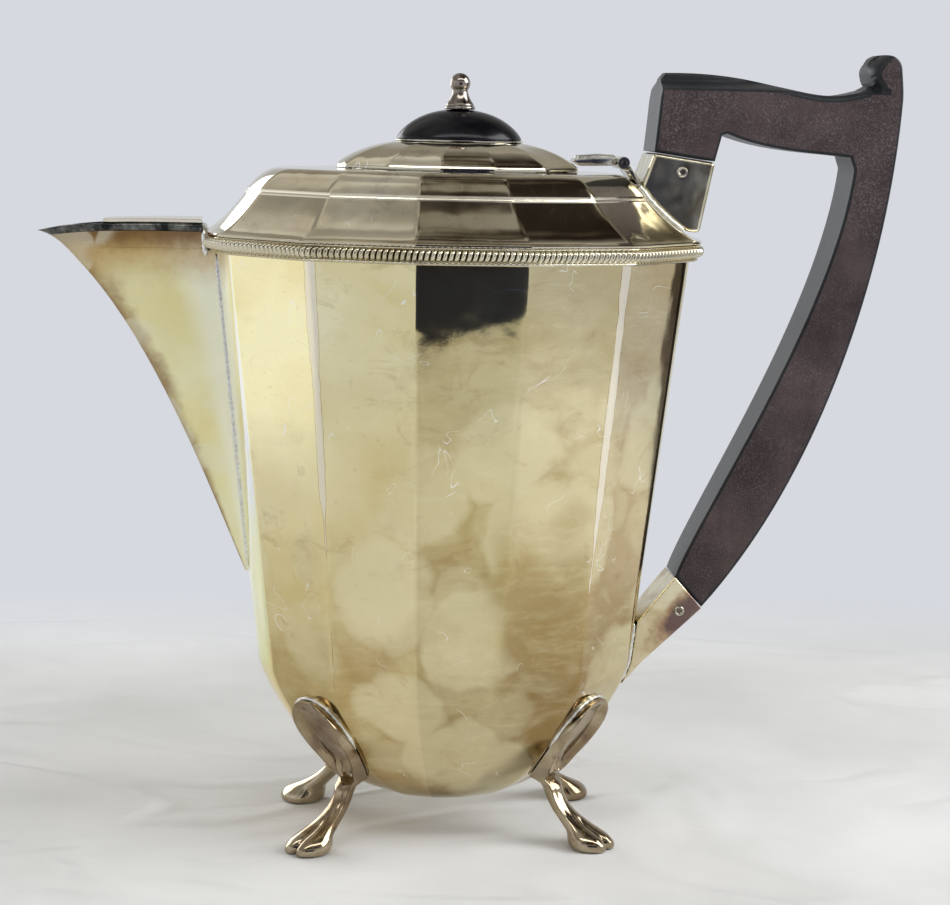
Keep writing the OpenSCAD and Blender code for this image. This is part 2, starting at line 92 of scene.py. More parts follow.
def circle(steps):
    """Points of the unit circle."""
    return [(cos(tau * j / steps), sin(tau * j / steps)) for j in range(steps)]


# ---- meshes
def place(points):
    """Points in mm from the body's axis, as points of the CAD frame in metres."""
    q = np.array(points, float).reshape(-1, 3)
    return (q + np.array((AXIS_X, 0, 0))) * MM


def grid_faces(rows, cols, closed=True, looped=False, start=0):
    faces = []
    for i in range(rows if looped else rows - 1):
        for j in range(cols if closed else cols - 1):
            a, b = i * cols, ((i + 1) % rows) * cols
            k = (j + 1) % cols
            faces.append((start + a + j, start + a + k, start + b + k, start + b + j))
    return faces


def finish_piece(obj, body, material, nodes=(), sharp=35):
    mesh = obj.data
    for material_of in material if isinstance(material, (list, tuple)) else [material]:
        mesh.materials.append(material_of)
    for polygon in mesh.polygons:
        polygon.use_smooth = True
    mesh.set_sharp_from_angle(angle=radians(sharp))
    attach(obj, body)
    if nodes:
        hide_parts(*nodes)
    return obj


def linked(name, data):
    obj = bpy.data.objects.new(name, data)
    bpy.context.scene.collection.objects.link(obj)
    return obj


def new_object(name, points, faces, attributes=None):
    mesh = bpy.data.meshes.new(name)
    mesh.from_pydata([tuple(p) for p in place(points)], [], faces)
    for key, values in (attributes or {}).items():
        layer = mesh.attributes.new(key, "FLOAT", "POINT")
        layer.data.foreach_set("value", np.array(values, np.float32))
    bm = bmesh.new()
    bm.from_mesh(mesh)
    bmesh.ops.recalc_face_normals(bm, faces=bm.faces)
    bm.to_mesh(mesh)
    bm.free()
    return linked(name, mesh)


def apply_modifiers(obj):
    graph = bpy.context.evaluated_depsgraph_get()
    mesh = bpy.data.meshes.new_from_object(obj.evaluated_get(graph), depsgraph=graph)
    obj.modifiers.clear()
    obj.data = mesh
    return obj


def loft(name, rings, looped=False, attributes=None):
    """A mesh through closed rings of equal length, capped with a fan at both ends."""
    cols = len(rings[0])
    points = [p for ring in rings for p in ring]
    faces = grid_faces(len(rings), cols, True, looped)
    values = {k: list(v) for k, v in (attributes or {}).items()}
    if not looped:
        for ring, order in ((0, 1), (len(rings) - 1, -1)):
            centre = len(points)
            points.append(np.mean(np.array(rings[ring]), axis=0))
            for k in values:
                values[k].append(values[k][ring * cols])
            for j in range(cols):
                pair = (ring * cols + (j + 1) % cols, ring * cols + j)
                faces.append((*pair[::order], centre))
    return new_object(name, points, faces, values)


def slab(name, outline, half_y, bevel, segments=4, y=0.0):
    """A flat outline in X and Z, given a thickness along Y, with all its edges rounded."""
    mesh = bpy.data.meshes.new(name)
    bm = bmesh.new()
    ring = [bm.verts.new(p) for p in place([(q[0], y - half_y, q[1]) for q in outline])]
    face = bm.faces.new(ring)
    side = bmesh.ops.extrude_face_region(bm, geom=[face])
    moved = [v for v in side["geom"] if isinstance(v, bmesh.types.BMVert)]
    bmesh.ops.translate(bm, verts=moved, vec=(0, 2 * half_y * MM, 0))
    bmesh.ops.recalc_face_normals(bm, faces=bm.faces)
    if bevel:
        sharp = [e for e in bm.edges if e.is_manifold and e.calc_face_angle(0) > radians(28)]
        bmesh.ops.bevel(bm, geom=sharp, offset=bevel * MM, segments=segments, profile=0.5,
                        affect="EDGES", clamp_overlap=True)
    bm.to_mesh(mesh)
    bm.free()
    return linked(name, mesh)


def join(main, others):
    joined = bmesh.new()
    for obj in (main, *others):
        joined.from_mesh(obj.data)
    joined.to_mesh(main.data)
    joined.free()
    for other in others:
        bpy.data.objects.remove(other)
    return main


def cut(obj, tool):
    """Takes the tool's solid away from the object."""
    change = obj.modifiers.new("cut", "BOOLEAN")
    change.operation = "DIFFERENCE"
    change.solver = "EXACT"
    change.object = tool
    apply_modifiers(obj)
    bpy.data.objects.remove(tool)


def weigh_normals(obj):
    """Keeps large flat faces flat next to their rounded edges."""
    change = obj.modifiers.new("weigh", "WEIGHTED_NORMAL")
    change.keep_sharp = True
    change.weight = 100
    return obj


def lathe(name, profile, centre, steps=64, axis="z", looped=False):
    """A turned shape: profile holds (radius, height) pairs, with the axis through centre."""
    x, y, z = centre
    if axis == "z":
        rings = [[(x + r * u, y + r * v, z + h) for u, v in circle(steps)] for r, h in profile]
    else:
        rings = [[(x + r * u, y + h, z + r * v) for u, v in circle(steps)] for r, h in profile]
    return loft(name, rings, looped=looped)


# ---- the body's plan
BODY_X, BODY_Y = 66.8, 50.0
FOLD_3 = (0.9521, 0.388)
HALF_FOLDS = [FOLD_3, (0.6407, 0.824), (0.2216, 1.0)]
HALF_FOLDS += [(-x, y) for x, y in reversed(HALF_FOLDS)]
FOLDS = [np.array((x * BODY_X, y * BODY_Y))
         for x, y in HALF_FOLDS + [(x, -y) for x, y in reversed(HALF_FOLDS)]]
SPOUT_END, HANDLE_END = 1.021, 1.0
SPOUT_PANEL, HANDLE_PANEL = 5, 11
SHEET = 1.0
# What a fold that isn't worn adds to its distance, in mm.
CRISP = 2.8


def panel_point(k, t):
    p = mix(FOLDS[k % 12], FOLDS[(k + 1) % 12], t)
    if k % 12 == SPOUT_PANEL:
        p = p - np.array(((SPOUT_END - FOLD_3[0]) * BODY_X * (1 - (2 * t - 1) ** 2), 0))
    if k % 12 == HANDLE_PANEL:
        p = p + np.array(((HANDLE_END - FOLD_3[0]) * BODY_X * (1 - (2 * t - 1) ** 2), 0))
    return p


def plan_ring(fold_round, fold_steps, panel_steps):
    """The plan's points anticlockwise, with each one's distance from the nearest fold and panel number."""
    points, gaps, panels = [], [], []
    # Folds 1, 4, 7 and 10 lie between the diagonal and the side panels, and are the most worn ones.
    length = [np.linalg.norm(FOLDS[(k + 1) % 12] - FOLDS[k]) for k in range(12)]
    for k in range(12):
        before = panel_point(k - 1, 1 - fold_round / length[k - 1])
        after = panel_point(k, fold_round / length[k])
        for i in range(fold_steps):
            t = i / fold_steps
            points.append((1 - t) ** 2 * before + 2 * t * (1 - t) * FOLDS[k] + t * t * after)
            gaps.append(abs(2 * t - 1) * fold_round + (0 if k % 3 == 1 else CRISP))
            panels.append((k - 1 + smooth(0.35, 0.65, t)) % 12)
        start = fold_round / length[k]
        for i in range(panel_steps):
            t = mix(start, 1 - start, i / panel_steps)
            points.append(panel_point(k, t))
            gaps.append(min(t * length[k] + (0 if k % 3 == 1 else CRISP),
                            (1 - t) * length[k] + (0 if k % 3 == 0 else CRISP)))
            panels.append(k)
    return np.array(points), gaps, panels


def slice_ring(plan, part, z, inset=0.0, shift=0.0):
    scale = np.array((part - inset / BODY_X, part - inset / BODY_Y))
    flat = plan * scale + np.array((shift, 0))
    return np.column_stack((flat, np.full(len(flat), float(z))))


BOWL_BOTTOM, BOWL_START = 9.8, 50.0


def width_at(z):
    taper = 1 - 0.196 * (168.5 - z) / (168.5 - 55)
    depth = max(0.0, (BOWL_START - z) / (BOWL_START - BOWL_BOTTOM))
    return taper * (1 - depth**1.27) ** (1 / 2.76)


# ---- materials
def linear(r, g, b):
    return tuple((c / 255 / 12.92 if c < 10 else ((c / 255 + 0.055) / 1.055) ** 2.4)
                 for c in (r, g, b)) + (1.0,)


def shade(colour):
    """Three sRGB bytes as a linear colour; sockets and linear colours stay as they are."""
    return linear(*colour) if isinstance(colour, tuple) and len(colour) == 3 else colour


class Nodes:
    """A node tree that is written as nested calls."""

    def __init__(self, tree, place="Object"):
        self.tree = tree
        self.place = self.add("TexCoord").outputs[place]

    def add(self, kind, inputs=None, **props):
        node = self.tree.nodes.new("ShaderNode" + kind)
        for key, value in props.items():
            setattr(node, key, value)
        for key, value in (inputs or {}).items():
            self.set(node.inputs[key], value)
        return node

    def set(self, socket, value):
        if isinstance(value, bpy.types.NodeSocket):
            self.tree.links.new(value, socket)
        else:
            socket.default_value = value

    def scaled(self, scale, offset=(0, 0, 0)):
        return self.add("Mapping", {"Vector": self.place, "Scale": scale,
                                              "Location": offset}).outputs["Vector"]

    def noise(self, size_mm, detail=4.0, rough=0.55, stretch=(1, 1, 1), offset=(0, 0, 0), warp=0.0):
        scale = tuple(1000 / size_mm * s for s in stretch)
        return self.add("TexNoise", {"Vector": self.scaled(scale, offset), "Scale": 1.0,
                                               "Detail": detail, "Roughness": rough,
                                               "Distortion": warp}).outputs["Fac"]

    def math(self, operation, a, b=0.0, c=0.0, clamp=False):
        node = self.add("Math", operation=operation, use_clamp=clamp)
        for i, value in enumerate((a, b, c)):
            self.set(node.inputs[i], value)
        return node.outputs[0]

    def times(self, a, b, clamp=False):
        return self.math("MULTIPLY", a, b, clamp=clamp)

    def plus(self, a, b):
        return self.math("ADD", a, b)

    def minus(self, a, b):
        return self.math("SUBTRACT", a, b)

    def sway(self, amount, *args, **kwargs):
        """Noise about zero, times an amount."""
        return self.times(self.minus(self.noise(*args, **kwargs), 0.5), amount)

    def grown(self, vector, factor):
        return self.add("VectorMath", {0: vector, "Scale": factor}, operation="SCALE").outputs[0]

    def step(self, value, low, high, to_low=0.0, to_high=1.0, kind="SMOOTHSTEP"):
        return self.add("MapRange", {"Value": value, "From Min": low, "From Max": high,
                                               "To Min": to_low, "To Max": to_high},
                        interpolation_type=kind).outputs["Result"]

    def blend(self, factor, a, b, kind="MIX"):
        node = self.add("Mix", data_type="RGBA", blend_type=kind, clamp_factor=True)
        self.set(node.inputs[0], factor)
        self.set(node.inputs[6], shade(a))
        self.set(node.inputs[7], shade(b))
        return node.outputs[2]

    def paint(self, factor, colour, kind="MIX"):
        """Lays a colour over the material's colour so far."""
        self.colour = self.blend(factor, self.colour, colour, kind)

    def attribute(self, name):
        return self.add("Attribute", attribute_name=name).outputs["Fac"]

    def ramp(self, value, stops):
        node = self.add("ValToRGB", {"Fac": value})
        while len(node.color_ramp.elements) < len(stops):
            node.color_ramp.elements.new(0.5)
        for element, (at, colour) in zip(node.color_ramp.elements, stops):
            element.position = at
            element.color = shade(colour)
        return node.outputs["Color"]

    def axis(self, name):
        return self.add("SeparateXYZ", {"Vector": self.place}).outputs[name]

    def bump(self, height, strength, distance_mm, normal=None):
        inputs = {"Height": height, "Strength": strength, "Distance": distance_mm * MM}
        if normal is not None:
            inputs["Normal"] = normal
        return self.add("Bump", inputs).outputs["Normal"]

    def lobes(self, size_mm, edge, offset=(0, 0, 0), warp_mm=3.0):
        """Round overlapping patches: 1 inside, 0 outside, with fairly crisp edges."""
        drift = self.add("TexNoise", {"Vector": self.scaled((60, 60, 60), offset), "Scale": 1.0,
                                                "Detail": 3.0}).outputs["Color"]
        shift = self.add("VectorMath", {0: drift, 1: (0.5, 0.5, 0.5)}, operation="SUBTRACT")
        shift = self.grown(shift.outputs[0], warp_mm * MM * 2)
        moved = self.add("VectorMath", {0: self.place, 1: shift}).outputs[0]
        spread = self.add("Mapping", {"Vector": moved, "Scale": (1000 / size_mm,) * 3,
                                                "Location": offset}).outputs["Vector"]
        cells = self.add("TexVoronoi", {"Vector": spread, "Scale": 1.0, "Randomness": 1.0})
        return self.step(cells.outputs["Distance"], 0.5 + edge, 0.5 - edge), cells.outputs["Distance"]


class Shader(Nodes):
    """A material on the principled shader."""

    def __init__(self, name):
        self.material = bpy.data.materials.new(name)
        self.material.use_nodes = True
        super().__init__(self.material.node_tree)
        self.bsdf = self.tree.nodes["Principled BSDF"]

    def done(self, **inputs):
        for key, value in inputs.items():
            self.set(self.bsdf.inputs[key.replace("_", " ")], value)
        return self.material


def silver_plate(name, pale, warm, stain, tone=None, rough=0.2, lobes=0.5, folds=True, waves=0.35,
                 dirt=0.25, gaps=False, low_painted_shade=0.0):
    """Tarnished silver plate: a warm film, an optional tone per panel that is partly painted light, painted
    shade low down, paler round patches, brown stains, worn folds (along the shoulder's break partly a painted
    highlight) and scratches.
    """
    s = Shader(name)
    broad = s.noise(38, 3.0, 0.5, warp=0.4)
    s.colour = s.ramp(broad, [(0.32, warm), (0.62, pale)])
    # A tone per panel multiplies the colour; it is partly tarnish and partly painted light.
    if tone is not None:
        s.paint(1.0, tone(s), "MULTIPLY")
    # Painted shade: darker and browner towards the bottom of the bowl, standing in for the shade under the
    # pot that it reflects.
    if low_painted_shade:
        sink = s.plus(s.axis("Z"), s.sway(0.05, 30, 3.0, 0.6))
        s.paint(s.step(sink, 0.135, 0.085, 0.0, 0.8), (236, 226, 210), "MULTIPLY")
        s.paint(s.step(sink, 0.09, 0.035, 0.0, low_painted_shade), (176, 152, 112), "MULTIPLY")
    patch, distance = s.lobes(31, 0.07, (0.4, 0.9, 0.2), 7.0)
    second, _ = s.lobes(19, 0.1, (3.1, 7.7, 1.9), 5.0)
    height = s.step(s.axis("Z"), 0.125, 0.085, 0.0, 0.12)
    gate = s.step(s.plus(s.noise(46, 2.0, 0.5, offset=(5, 2, 8)), height), 0.50, 0.60)
    light = s.times(s.math("MAXIMUM", patch, s.times(second, 0.6)), gate)
    light = s.times(light, lobes, clamp=True)
    s.paint(light, pale)
    rim = s.times(s.step(s.math("ABSOLUTE", s.minus(distance, 0.53)), 0.035, 0.0), gate)
    s.paint(s.times(rim, 0.07), stain)
    fine = s.noise(3.2, 6.0, 0.7)
    wipe = s.noise(9, 6.0, 0.72, (0.5, 0.5, 0.9), (6, 5, 1), 1.2)
    s.paint(s.step(wipe, 0.46, 0.72, 0.0, 0.24), pale)
    s.paint(s.step(wipe, 0.46, 0.28, 0.0, 0.3), stain)
    brown = s.times(s.step(s.noise(26, 6.0, 0.62, offset=(9, 4, 1)), 0.54, 0.74), dirt, clamp=True)
    s.paint(brown, stain)
    smear = s.noise(6, 5.0, 0.7, (0.35, 0.35, 1.6), offset=(3, 3, 3))
    s.paint(s.times(s.step(smear, 0.5, 0.75), 0.22), pale)
    speck = s.times(s.step(fine, 0.6, 0.72), 0.16)
    s.paint(speck, stain)
    thread = s.math("ABSOLUTE", s.minus(s.noise(21, 2.0, 0.6, offset=(7, 1, 4), warp=1.5), 0.5))
    thread = s.times(s.step(thread, 0.006, 0.002), s.step(s.noise(13, 2.0, offset=(2, 8, 5)), 0.57, 0.62))
    s.paint(s.times(thread, 0.7), (250, 248, 240))
    roughness = s.plus(s.times(s.noise(14, 4.0, 0.6), 0.16), rough - 0.08)
    roughness = s.times(roughness, s.step(s.axis("Z"), 0.118, 0.142, 1.0, 0.45))
    # Pale strips where the fold value is low: worn plating along the body's folds, and along the shoulder's
    # break partly a painted highlight.
    if folds:
        ragged = s.sway(2.2, 7, 5.0, 0.65, (1, 1, 0.5))
        swell = s.sway(3.4, 34, 2.0, 0.5, (0.6, 0.1, 1), (4, 4, 9))
        fade = s.step(s.axis("Z"), 0.112, 0.08, 0.0, 1.6)
        reach = s.plus(s.plus(s.attribute("fold"), ragged), s.plus(swell, fade))
        wear_and_highlight = s.step(reach, 1.5, 1.34)
        outline = s.step(s.math("ABSOLUTE", s.minus(reach, 1.6)), 0.14, 0.04)
        s.paint(s.times(outline, 0.5), stain)
        s.paint(s.times(wear_and_highlight, 0.85), (240, 232, 214))
        roughness = s.plus(roughness, s.times(wear_and_highlight, 0.1))
    if gaps:
        s.paint(s.step(s.attribute("gap"), 0.22, 0.7, 0.0, 0.95), stain)
    scratch = s.noise(1.1, 2.0, 0.5, (1, 1, 0.035), warp=0.6)
    wave = s.noise(19, 2.0, 0.5, offset=(2, 2, 2))
    normal = s.bump(wave, waves, 0.9)
    normal = s.bump(scratch, 0.05, 0.05, normal)
    normal = s.bump(fine, 0.06, 0.08, normal)
    return s.done(Base_Color=s.colour, Metallic=1.0, Roughness=roughness, Normal=normal)


# Painted light: these tones stand partly for each panel's own tarnish and partly for the light and
# reflections each panel shows.
# Each panel's shade, tuned to the photo. Above 1 it is brighter than a real surface.
PANEL_TARNISH_AND_LIGHT = [(0.86, 0.82, 0.80), (0.98, 0.95, 0.95), (0.92, 0.89, 0.86), (1.0, 0.99, 0.97),
               (1.1, 1.1, 1.14), (2.3, 2.3, 2.4), (1.16, 1.16, 1.14), (1.08, 1.08, 1.08),
               (0.75, 0.71, 0.62), (0.72, 0.67, 0.62), (0.74, 0.68, 0.7), (0.9, 0.88, 0.9)]
TONE_TOP = 2.4


def panel_tarnish_and_light(s):
    """Each panel's own tone, part tarnish and part painted light and reflection, read from the panel number
    that the mesh carries.
    """
    stops = []
    for k, (r, g, b) in enumerate(PANEL_TARNISH_AND_LIGHT):
        stops.append((k / 12 + 0.001, (r / TONE_TOP, g / TONE_TOP, b / TONE_TOP, 1)))
    ramp = s.ramp(s.math("DIVIDE", s.attribute("panel"), 12.0), stops)
    return s.grown(ramp, TONE_TOP)


BODY_SILVER = silver_plate("body_silver", (240, 232, 192), (224, 210, 156),
                           (150, 114, 66), tone=panel_tarnish_and_light, rough=0.11, lobes=0.52, waves=0.2, low_painted_shade=0.62)
SHOULDER_SILVER = silver_plate("shoulder_silver", (226, 218, 196), (196, 184, 156),
                               (96, 72, 52), rough=0.2, lobes=0.25, waves=0.45, dirt=0.7)
BAND_SILVER = silver_plate("band_silver", (228, 222, 202), (200, 190, 162),
                           (70, 58, 44), rough=0.16, lobes=0.0, folds=False, dirt=0.35, waves=0.1, gaps=True)


def polished(name, pale, warm, tint, rough=0.1, tint_amount=0.5, waves=0.3, heat=None):
    """Bright fittings with a thin film of colour, and a heat stain round the point heat (X and Z in mm)."""
    s = Shader(name)
    film = s.noise(13, 4.0, 0.6, warp=0.8)
    s.colour = s.ramp(film, [(0.34, warm), (0.62, pale)])
    patch = s.times(s.step(s.noise(8, 4.0, 0.6, offset=(4, 1, 6)), 0.52, 0.7), tint_amount, clamp=True)
    s.paint(patch, tint)
    if heat:
        east = s.minus(s.axis("X"), (heat[0] + AXIS_X) * MM)
        rise = s.minus(s.axis("Z"), heat[1] * MM)
        down = s.minus(s.plus(s.times(east, 0.72), s.times(rise, -0.7)), 0.0015)
        wide = s.plus(s.times(east, 0.3), s.times(rise, 0.3))
        away = s.math("SQRT", s.plus(s.times(wide, wide), s.times(down, down)))
        away = s.plus(away, s.sway(0.006, 5, 4.0, 0.65))
        s.paint(s.step(away, 0.0062, 0.0036, 0.0, 0.7), (146, 108, 80))
        s.paint(s.step(away, 0.0042, 0.002, 0.0, 0.8), (92, 74, 82))
    roughness = s.plus(s.times(s.noise(5, 4.0, 0.6), 0.10), rough - 0.04)
    normal = s.bump(s.noise(9, 2.0, 0.5), waves, 0.35)
    normal = s.bump(s.noise(0.8, 3.0, 0.6, (1, 1, 0.1)), 0.05, 0.04, normal)
    return s.done(Base_Color=s.colour, Metallic=1.0, Roughness=roughness, Normal=normal)


# The feet's colours are darkened: partly the cast metal's own brown tarnish, partly painted shade standing in
# for the contact shadow that they reflect.
FOOT_TARNISH_AND_SHADE = polished("foot_tarnish_and_shade", (182, 168, 142), (140, 120, 92), (98, 72, 72), 0.12, 0.5)
SOCKET_SILVER = polished("socket_silver", (228, 222, 198), (196, 184, 150), (128, 102, 78), 0.14, 0.6)
LOWER_SOCKET_SILVER = polished("lower_socket_silver", (226, 216, 184), (196, 180, 142), (150, 112, 80),
                               0.12, 0.4, heat=(67.1, 65.3))
HINGE_SILVER = polished("hinge_silver", (226, 224, 214), (176, 170, 152), (88, 78, 68), 0.14, 0.7)
KNOB_SILVER = polished("knob_silver", (150, 142, 134), (124, 114, 104), (86, 72, 64), 0.14, 0.4, 0.05)


def solder():
    s = Shader("solder")
    grain = s.noise(0.9, 5.0, 0.7)
    s.colour = s.ramp(grain, [(0.35, (206, 205, 196)), (0.6, (244, 244, 238))])
    return s.done(Base_Color=s.colour, Metallic=0.85, Roughness=0.3, Normal=s.bump(grain, 0.3, 0.12))


def disc_black():
    s = Shader("disc_black")
    s.colour = s.ramp(s.noise(6, 5.0, 0.6), [(0.35, (6, 6, 10)), (0.7, (14, 14, 20))])
    roughness = s.plus(s.times(s.noise(2.5, 5.0, 0.7), 0.12), 0.16)
    return s.done(Base_Color=s.colour, Roughness=roughness, Coat_Weight=0.05, Coat_Roughness=0.1,
                  Specular_IOR_Level=0.25, Normal=s.bump(s.noise(1.4, 4.0, 0.7), 0.08, 0.05))


def wood(name, dark, mid, light, rough, grit):
    """Dark stained wood: speckled open pores and a faint grain along the handle."""
    s = Shader(name)
    cloud = s.noise(16, 3.0, 0.55)
    pores = s.noise(0.42, 4.0, 0.8)
    grain = s.noise(2.2, 4.0, 0.6, (1, 1, 0.12), warp=0.5)
    s.colour = s.ramp(cloud, [(0.35, dark), (0.68, mid)])
    s.paint(s.times(s.step(grain, 0.45, 0.7), 0.25), dark)
    haze = s.step(s.noise(24, 3.0, 0.6, offset=(3, 1, 2)), 0.4, 0.65, 0.35, 1.0)
    grey = s.times(s.times(s.step(pores, 0.5, 0.72), haze), grit, clamp=True)
    s.paint(grey, light)
    s.paint(s.step(pores, 0.44, 0.3, 0.0, 0.6), dark)
    roughness = s.plus(s.times(pores, 0.18), rough - 0.09)
    normal = s.bump(pores, 0.45 * grit + 0.05, 0.12)
    return s.done(Base_Color=s.colour, Roughness=roughness, Normal=normal, Specular_IOR_Level=0.22)


WOOD_SIDE = wood("wood_side", (52, 41, 42), (78, 65, 65), (138, 131, 132), 0.5, 0.85)
WOOD_EDGE = wood("wood_edge", (30, 32, 34), (44, 45, 48), (84, 86, 88), 0.36, 0.25)
SOLDER = solder()
DISC_BLACK = disc_black()

# ---- body
body_plan, body_gaps, body_panels = plan_ring(2.2, 8, 10)
levels = [mix(BOWL_BOTTOM, BOWL_START, 1 - cos(radians(a)))
          for a in (0.6, 1.5, 3, 5, 7.5, 10, 13, 16, 20, 24, 28, 33, 38, 44, 50, 56, 62, 68, 74, 80, 85)]
levels += list(np.linspace(BOWL_START, BODY_TOP, 26))
outer = [slice_ring(body_plan, width_at(z), z) for z in levels]
inner_low = BOWL_BOTTOM + SHEET
inner = [slice_ring(body_plan, max(width_at(z), 0.03),
                    mix(inner_low, BODY_TOP, (z - BOWL_BOTTOM) / (BODY_TOP - BOWL_BOTTOM)),
                    SHEET if width_at(z) > 0.1 else 0) for z in reversed(levels)]
rings = outer + inner
body = loft("body_shell", rings,
            attributes={"fold": body_gaps * len(rings), "panel": body_panels * len(rings)})
HOLE_R, HOLE_ROWS, HOLE_LOW_Z, HOLE_PITCH_Z, HOLE_PITCH_Y = 1.5, 5, 112, 9.5, 4.6


def hole(y, z):
    """A rod that cuts one strainer hole behind the spout."""
    return loft("hole", [[(-BODY_X * 0.86 + x, y + HOLE_R * u, z + HOLE_R * v) for u, v in circle(20)]
                         for x in (9, -16)])


holes = [hole(side * HOLE_PITCH_Y, HOLE_LOW_Z + HOLE_PITCH_Z * row)
         for row in range(HOLE_ROWS) for side in (-0.5, 0.5)]
cut(body, join(holes[0], holes[1:]))
finish_piece(body, "pot", BODY_SILVER, ["body"], sharp=40)

# ---- shoulder
RIM_PART, RIM_Z = 1.035, 173.2
BREAK_PART, BREAK_Z = 0.834, 184.1
SHELF_PART, SHELF_Z = 0.70, 190.9
MOUTH_PART, MOUTH_Z = 0.455, 191.2
LID_PART = 0.506


def lean(part):
    up = min(1.0, max(0.0, (RIM_PART - part) / (RIM_PART - BREAK_PART)))
    return -1.8 * up * min(1.0, max(0.0, (part - MOUTH_PART) / (SHELF_PART - MOUTH_PART)))


def hollow_point(u, part=0.843, z=183.7, inset=0.0, drop=0.0):
    """A point of the hollow moulding's profile, from the rim up."""
    return mix(RIM_PART, part, u) - inset, mix(RIM_Z, z, u**1.45) - drop


def round_point(u, part=0.831, z=185.2, power=1.9, inset=0.0, drop=0.0):
    """A point of the round moulding's profile, from the break up."""
    return mix(part, SHELF_PART, u) - inset, mix(z, SHELF_Z, 1 - (1 - u) ** power) - drop


shoulder_plan, shoulder_gaps, shoulder_panels = plan_ring(1.1, 5, 7)
profile = [(1.036, 172.2), (1.043, 172.25), (1.046, 172.45), (1.046, 172.8), (1.042, 173.05)]
profile += [hollow_point(u) for u in np.linspace(0, 1, 18)]
profile += [(0.8427, 183.85), (0.8425, 184.0), (0.840, 184.25), (0.8365, 184.32), (0.834, 184.36),
            (0.8325, 184.5), (0.8318, 184.85)]
profile += [round_point(u) for u in np.linspace(0, 1, 16)]
profile += [(0.66, 190.98), (0.60, 191.08), (0.56, 191.14), (0.52, MOUTH_Z), (0.47, MOUTH_Z),
            (MOUTH_PART, MOUTH_Z)]
profile += [(MOUTH_PART, MOUTH_Z - SHEET), (0.53, MOUTH_Z - SHEET), (0.60, 190.0), (0.66, 189.9)]
profile += [round_point(u, inset=0.011, drop=SHEET) for u in (0.9, 0.7, 0.5, 0.3, 0.15)]
profile += [hollow_point(u, inset=0.012, drop=SHEET) for u in (1.0, 0.8, 0.6, 0.45, 0.33)]
profile += [(0.985, 172.2)]
rings = [slice_ring(shoulder_plan, part, z, 0, lean(part)) for part, z in profile]
# Pale along the break between the two mouldings: partly worn plating, partly a painted highlight along the
# crease.
break_wear_and_highlight = [1.1 if 0.8317 < part < 0.8427 and 183.9 < z < 185 else 6.0 for part, z in profile]
shoulder = loft("shoulder_shell", rings, looped=True,
                attributes={"fold": [w for w in break_wear_and_highlight for _ in shoulder_gaps],
                            "panel": shoulder_panels * len(rings)})
finish_piece(shoulder, "pot", SHOULDER_SILVER, ["shoulder"], sharp=24)

# ---- gadroon border
RIBS, RIB_STEPS = 246, 8
dense, _, _ = plan_ring(2.2, 12, 40)
closed = np.vstack((dense, dense[:1]))
run = np.concatenate(([0], np.cumsum(np.linalg.norm(np.diff(closed, axis=0), axis=1))))


def along(distance):
    """Points of the plan at these distances along its edge."""
    d = np.mod(distance, run[-1])
    return np.column_stack((np.interp(d, run, closed[:, 0]), np.interp(d, run, closed[:, 1])))


border_low = 167.4
base = width_at(BODY_TOP) + 0.004
count = RIBS * RIB_STEPS
index = np.arange(count)
lobe = np.sqrt(1 - (2 * ((index % RIB_STEPS) / RIB_STEPS) - 1) ** 2)
rows = [(0.0, 0.0, 0), (0.05, 0.013, 0), (0.2, 0.021, 0), (0.5, 0.024, 0), (0.8, 0.021, 0),
        (0.98, 0.014, 0), (1.08, 0.012, 0.004), (1.3, 0.013, 0.018), (1.7, 0.015, 0.026),
        (2.2, 0.017, 0.0275), (2.7, 0.019, 0.027), (3.2, 0.020, 0.025), (3.6, 0.020, 0.022),
        (3.95, 0.019, 0.015), (4.15, 0.018, 0.004), (4.22, 0.020, 0), (4.3, 0.031, 0), (4.5, 0.034, 0),
        (4.65, 0.033, 0), (4.7, 0.030, 0), (4.7, 0.0, 0)]
rings = []
for z, out, rib in rows:
    flat = along(index * run[-1] / count + 0.22 * (z - 2.5)) * (base + out + rib * lobe)[:, None]
    rings.append(np.column_stack((flat, np.full(count, border_low + z))))
border = loft("gadroon_band", rings, looped=True,
              attributes={"gap": [(1 - v) * min(1.0, rib / 0.015) for _, _, rib in rows for v in lobe]})
finish_piece(border, "pot", BAND_SILVER, ["gadroon_border"], sharp=60)

# ---- spout
KEEL = [(-58.4, 76), (-68.4, 99.2), (-91, 160.6), (-116.4, 172.2)]
SPOUT_LOW, SPOUT_TIP_X, SPOUT_TIP_Z = 76.0, -116.4, 172.2
SPOUT_HALF, FLANK_POWER = 9.5, 0.62
CLEAR_Z = border_low - 0.3
CLEAR_X = -BODY_X * 1.041 * SPOUT_END - 0.05
keel_points = np.array(curve(KEEL, 400))


def keel_x(z):
    return float(np.interp(z, keel_points[:, 1], keel_points[:, 0]))


def joint_half_y(z):
    return mix(1.0, SPOUT_HALF, max(0.0, (z - SPOUT_LOW) / (SPOUT_TIP_Z - SPOUT_LOW)) ** 0.8)


def lip_z(x):
    return SPOUT_TIP_Z + 3.0 * (1 - ((-x - 66) / 50.4) ** 4)


def spout_side(z, y):
    w = width_at(z)
    u = y / (FOLD_3[1] * BODY_Y * w)
    return BODY_X * w * (SPOUT_END - (SPOUT_END - FOLD_3[0]) * u * u)


def spout_section(z, nose_x, half_y, thin=0.0, lip=0.0):
    back = -spout_side(z, half_y) - 0.3 if z < CLEAR_Z else CLEAR_X
    nose = min(nose_x, back - 0.1)
    points = []
    for side in (1, -1):
        order = FLANK if side > 0 else FLANK[-2::-1]
        for a in order:
            x = mix(back, nose, a)
            rise = (lip_z(x) - SPOUT_TIP_Z) * smooth(SPOUT_TIP_Z - 11, SPOUT_TIP_Z, z) ** 1.5
            y = side * (half_y * (1 - a) ** FLANK_POWER + lip * min(1.0, (1 - a) * 12))
            points.append((x, y, z + rise))
    return points


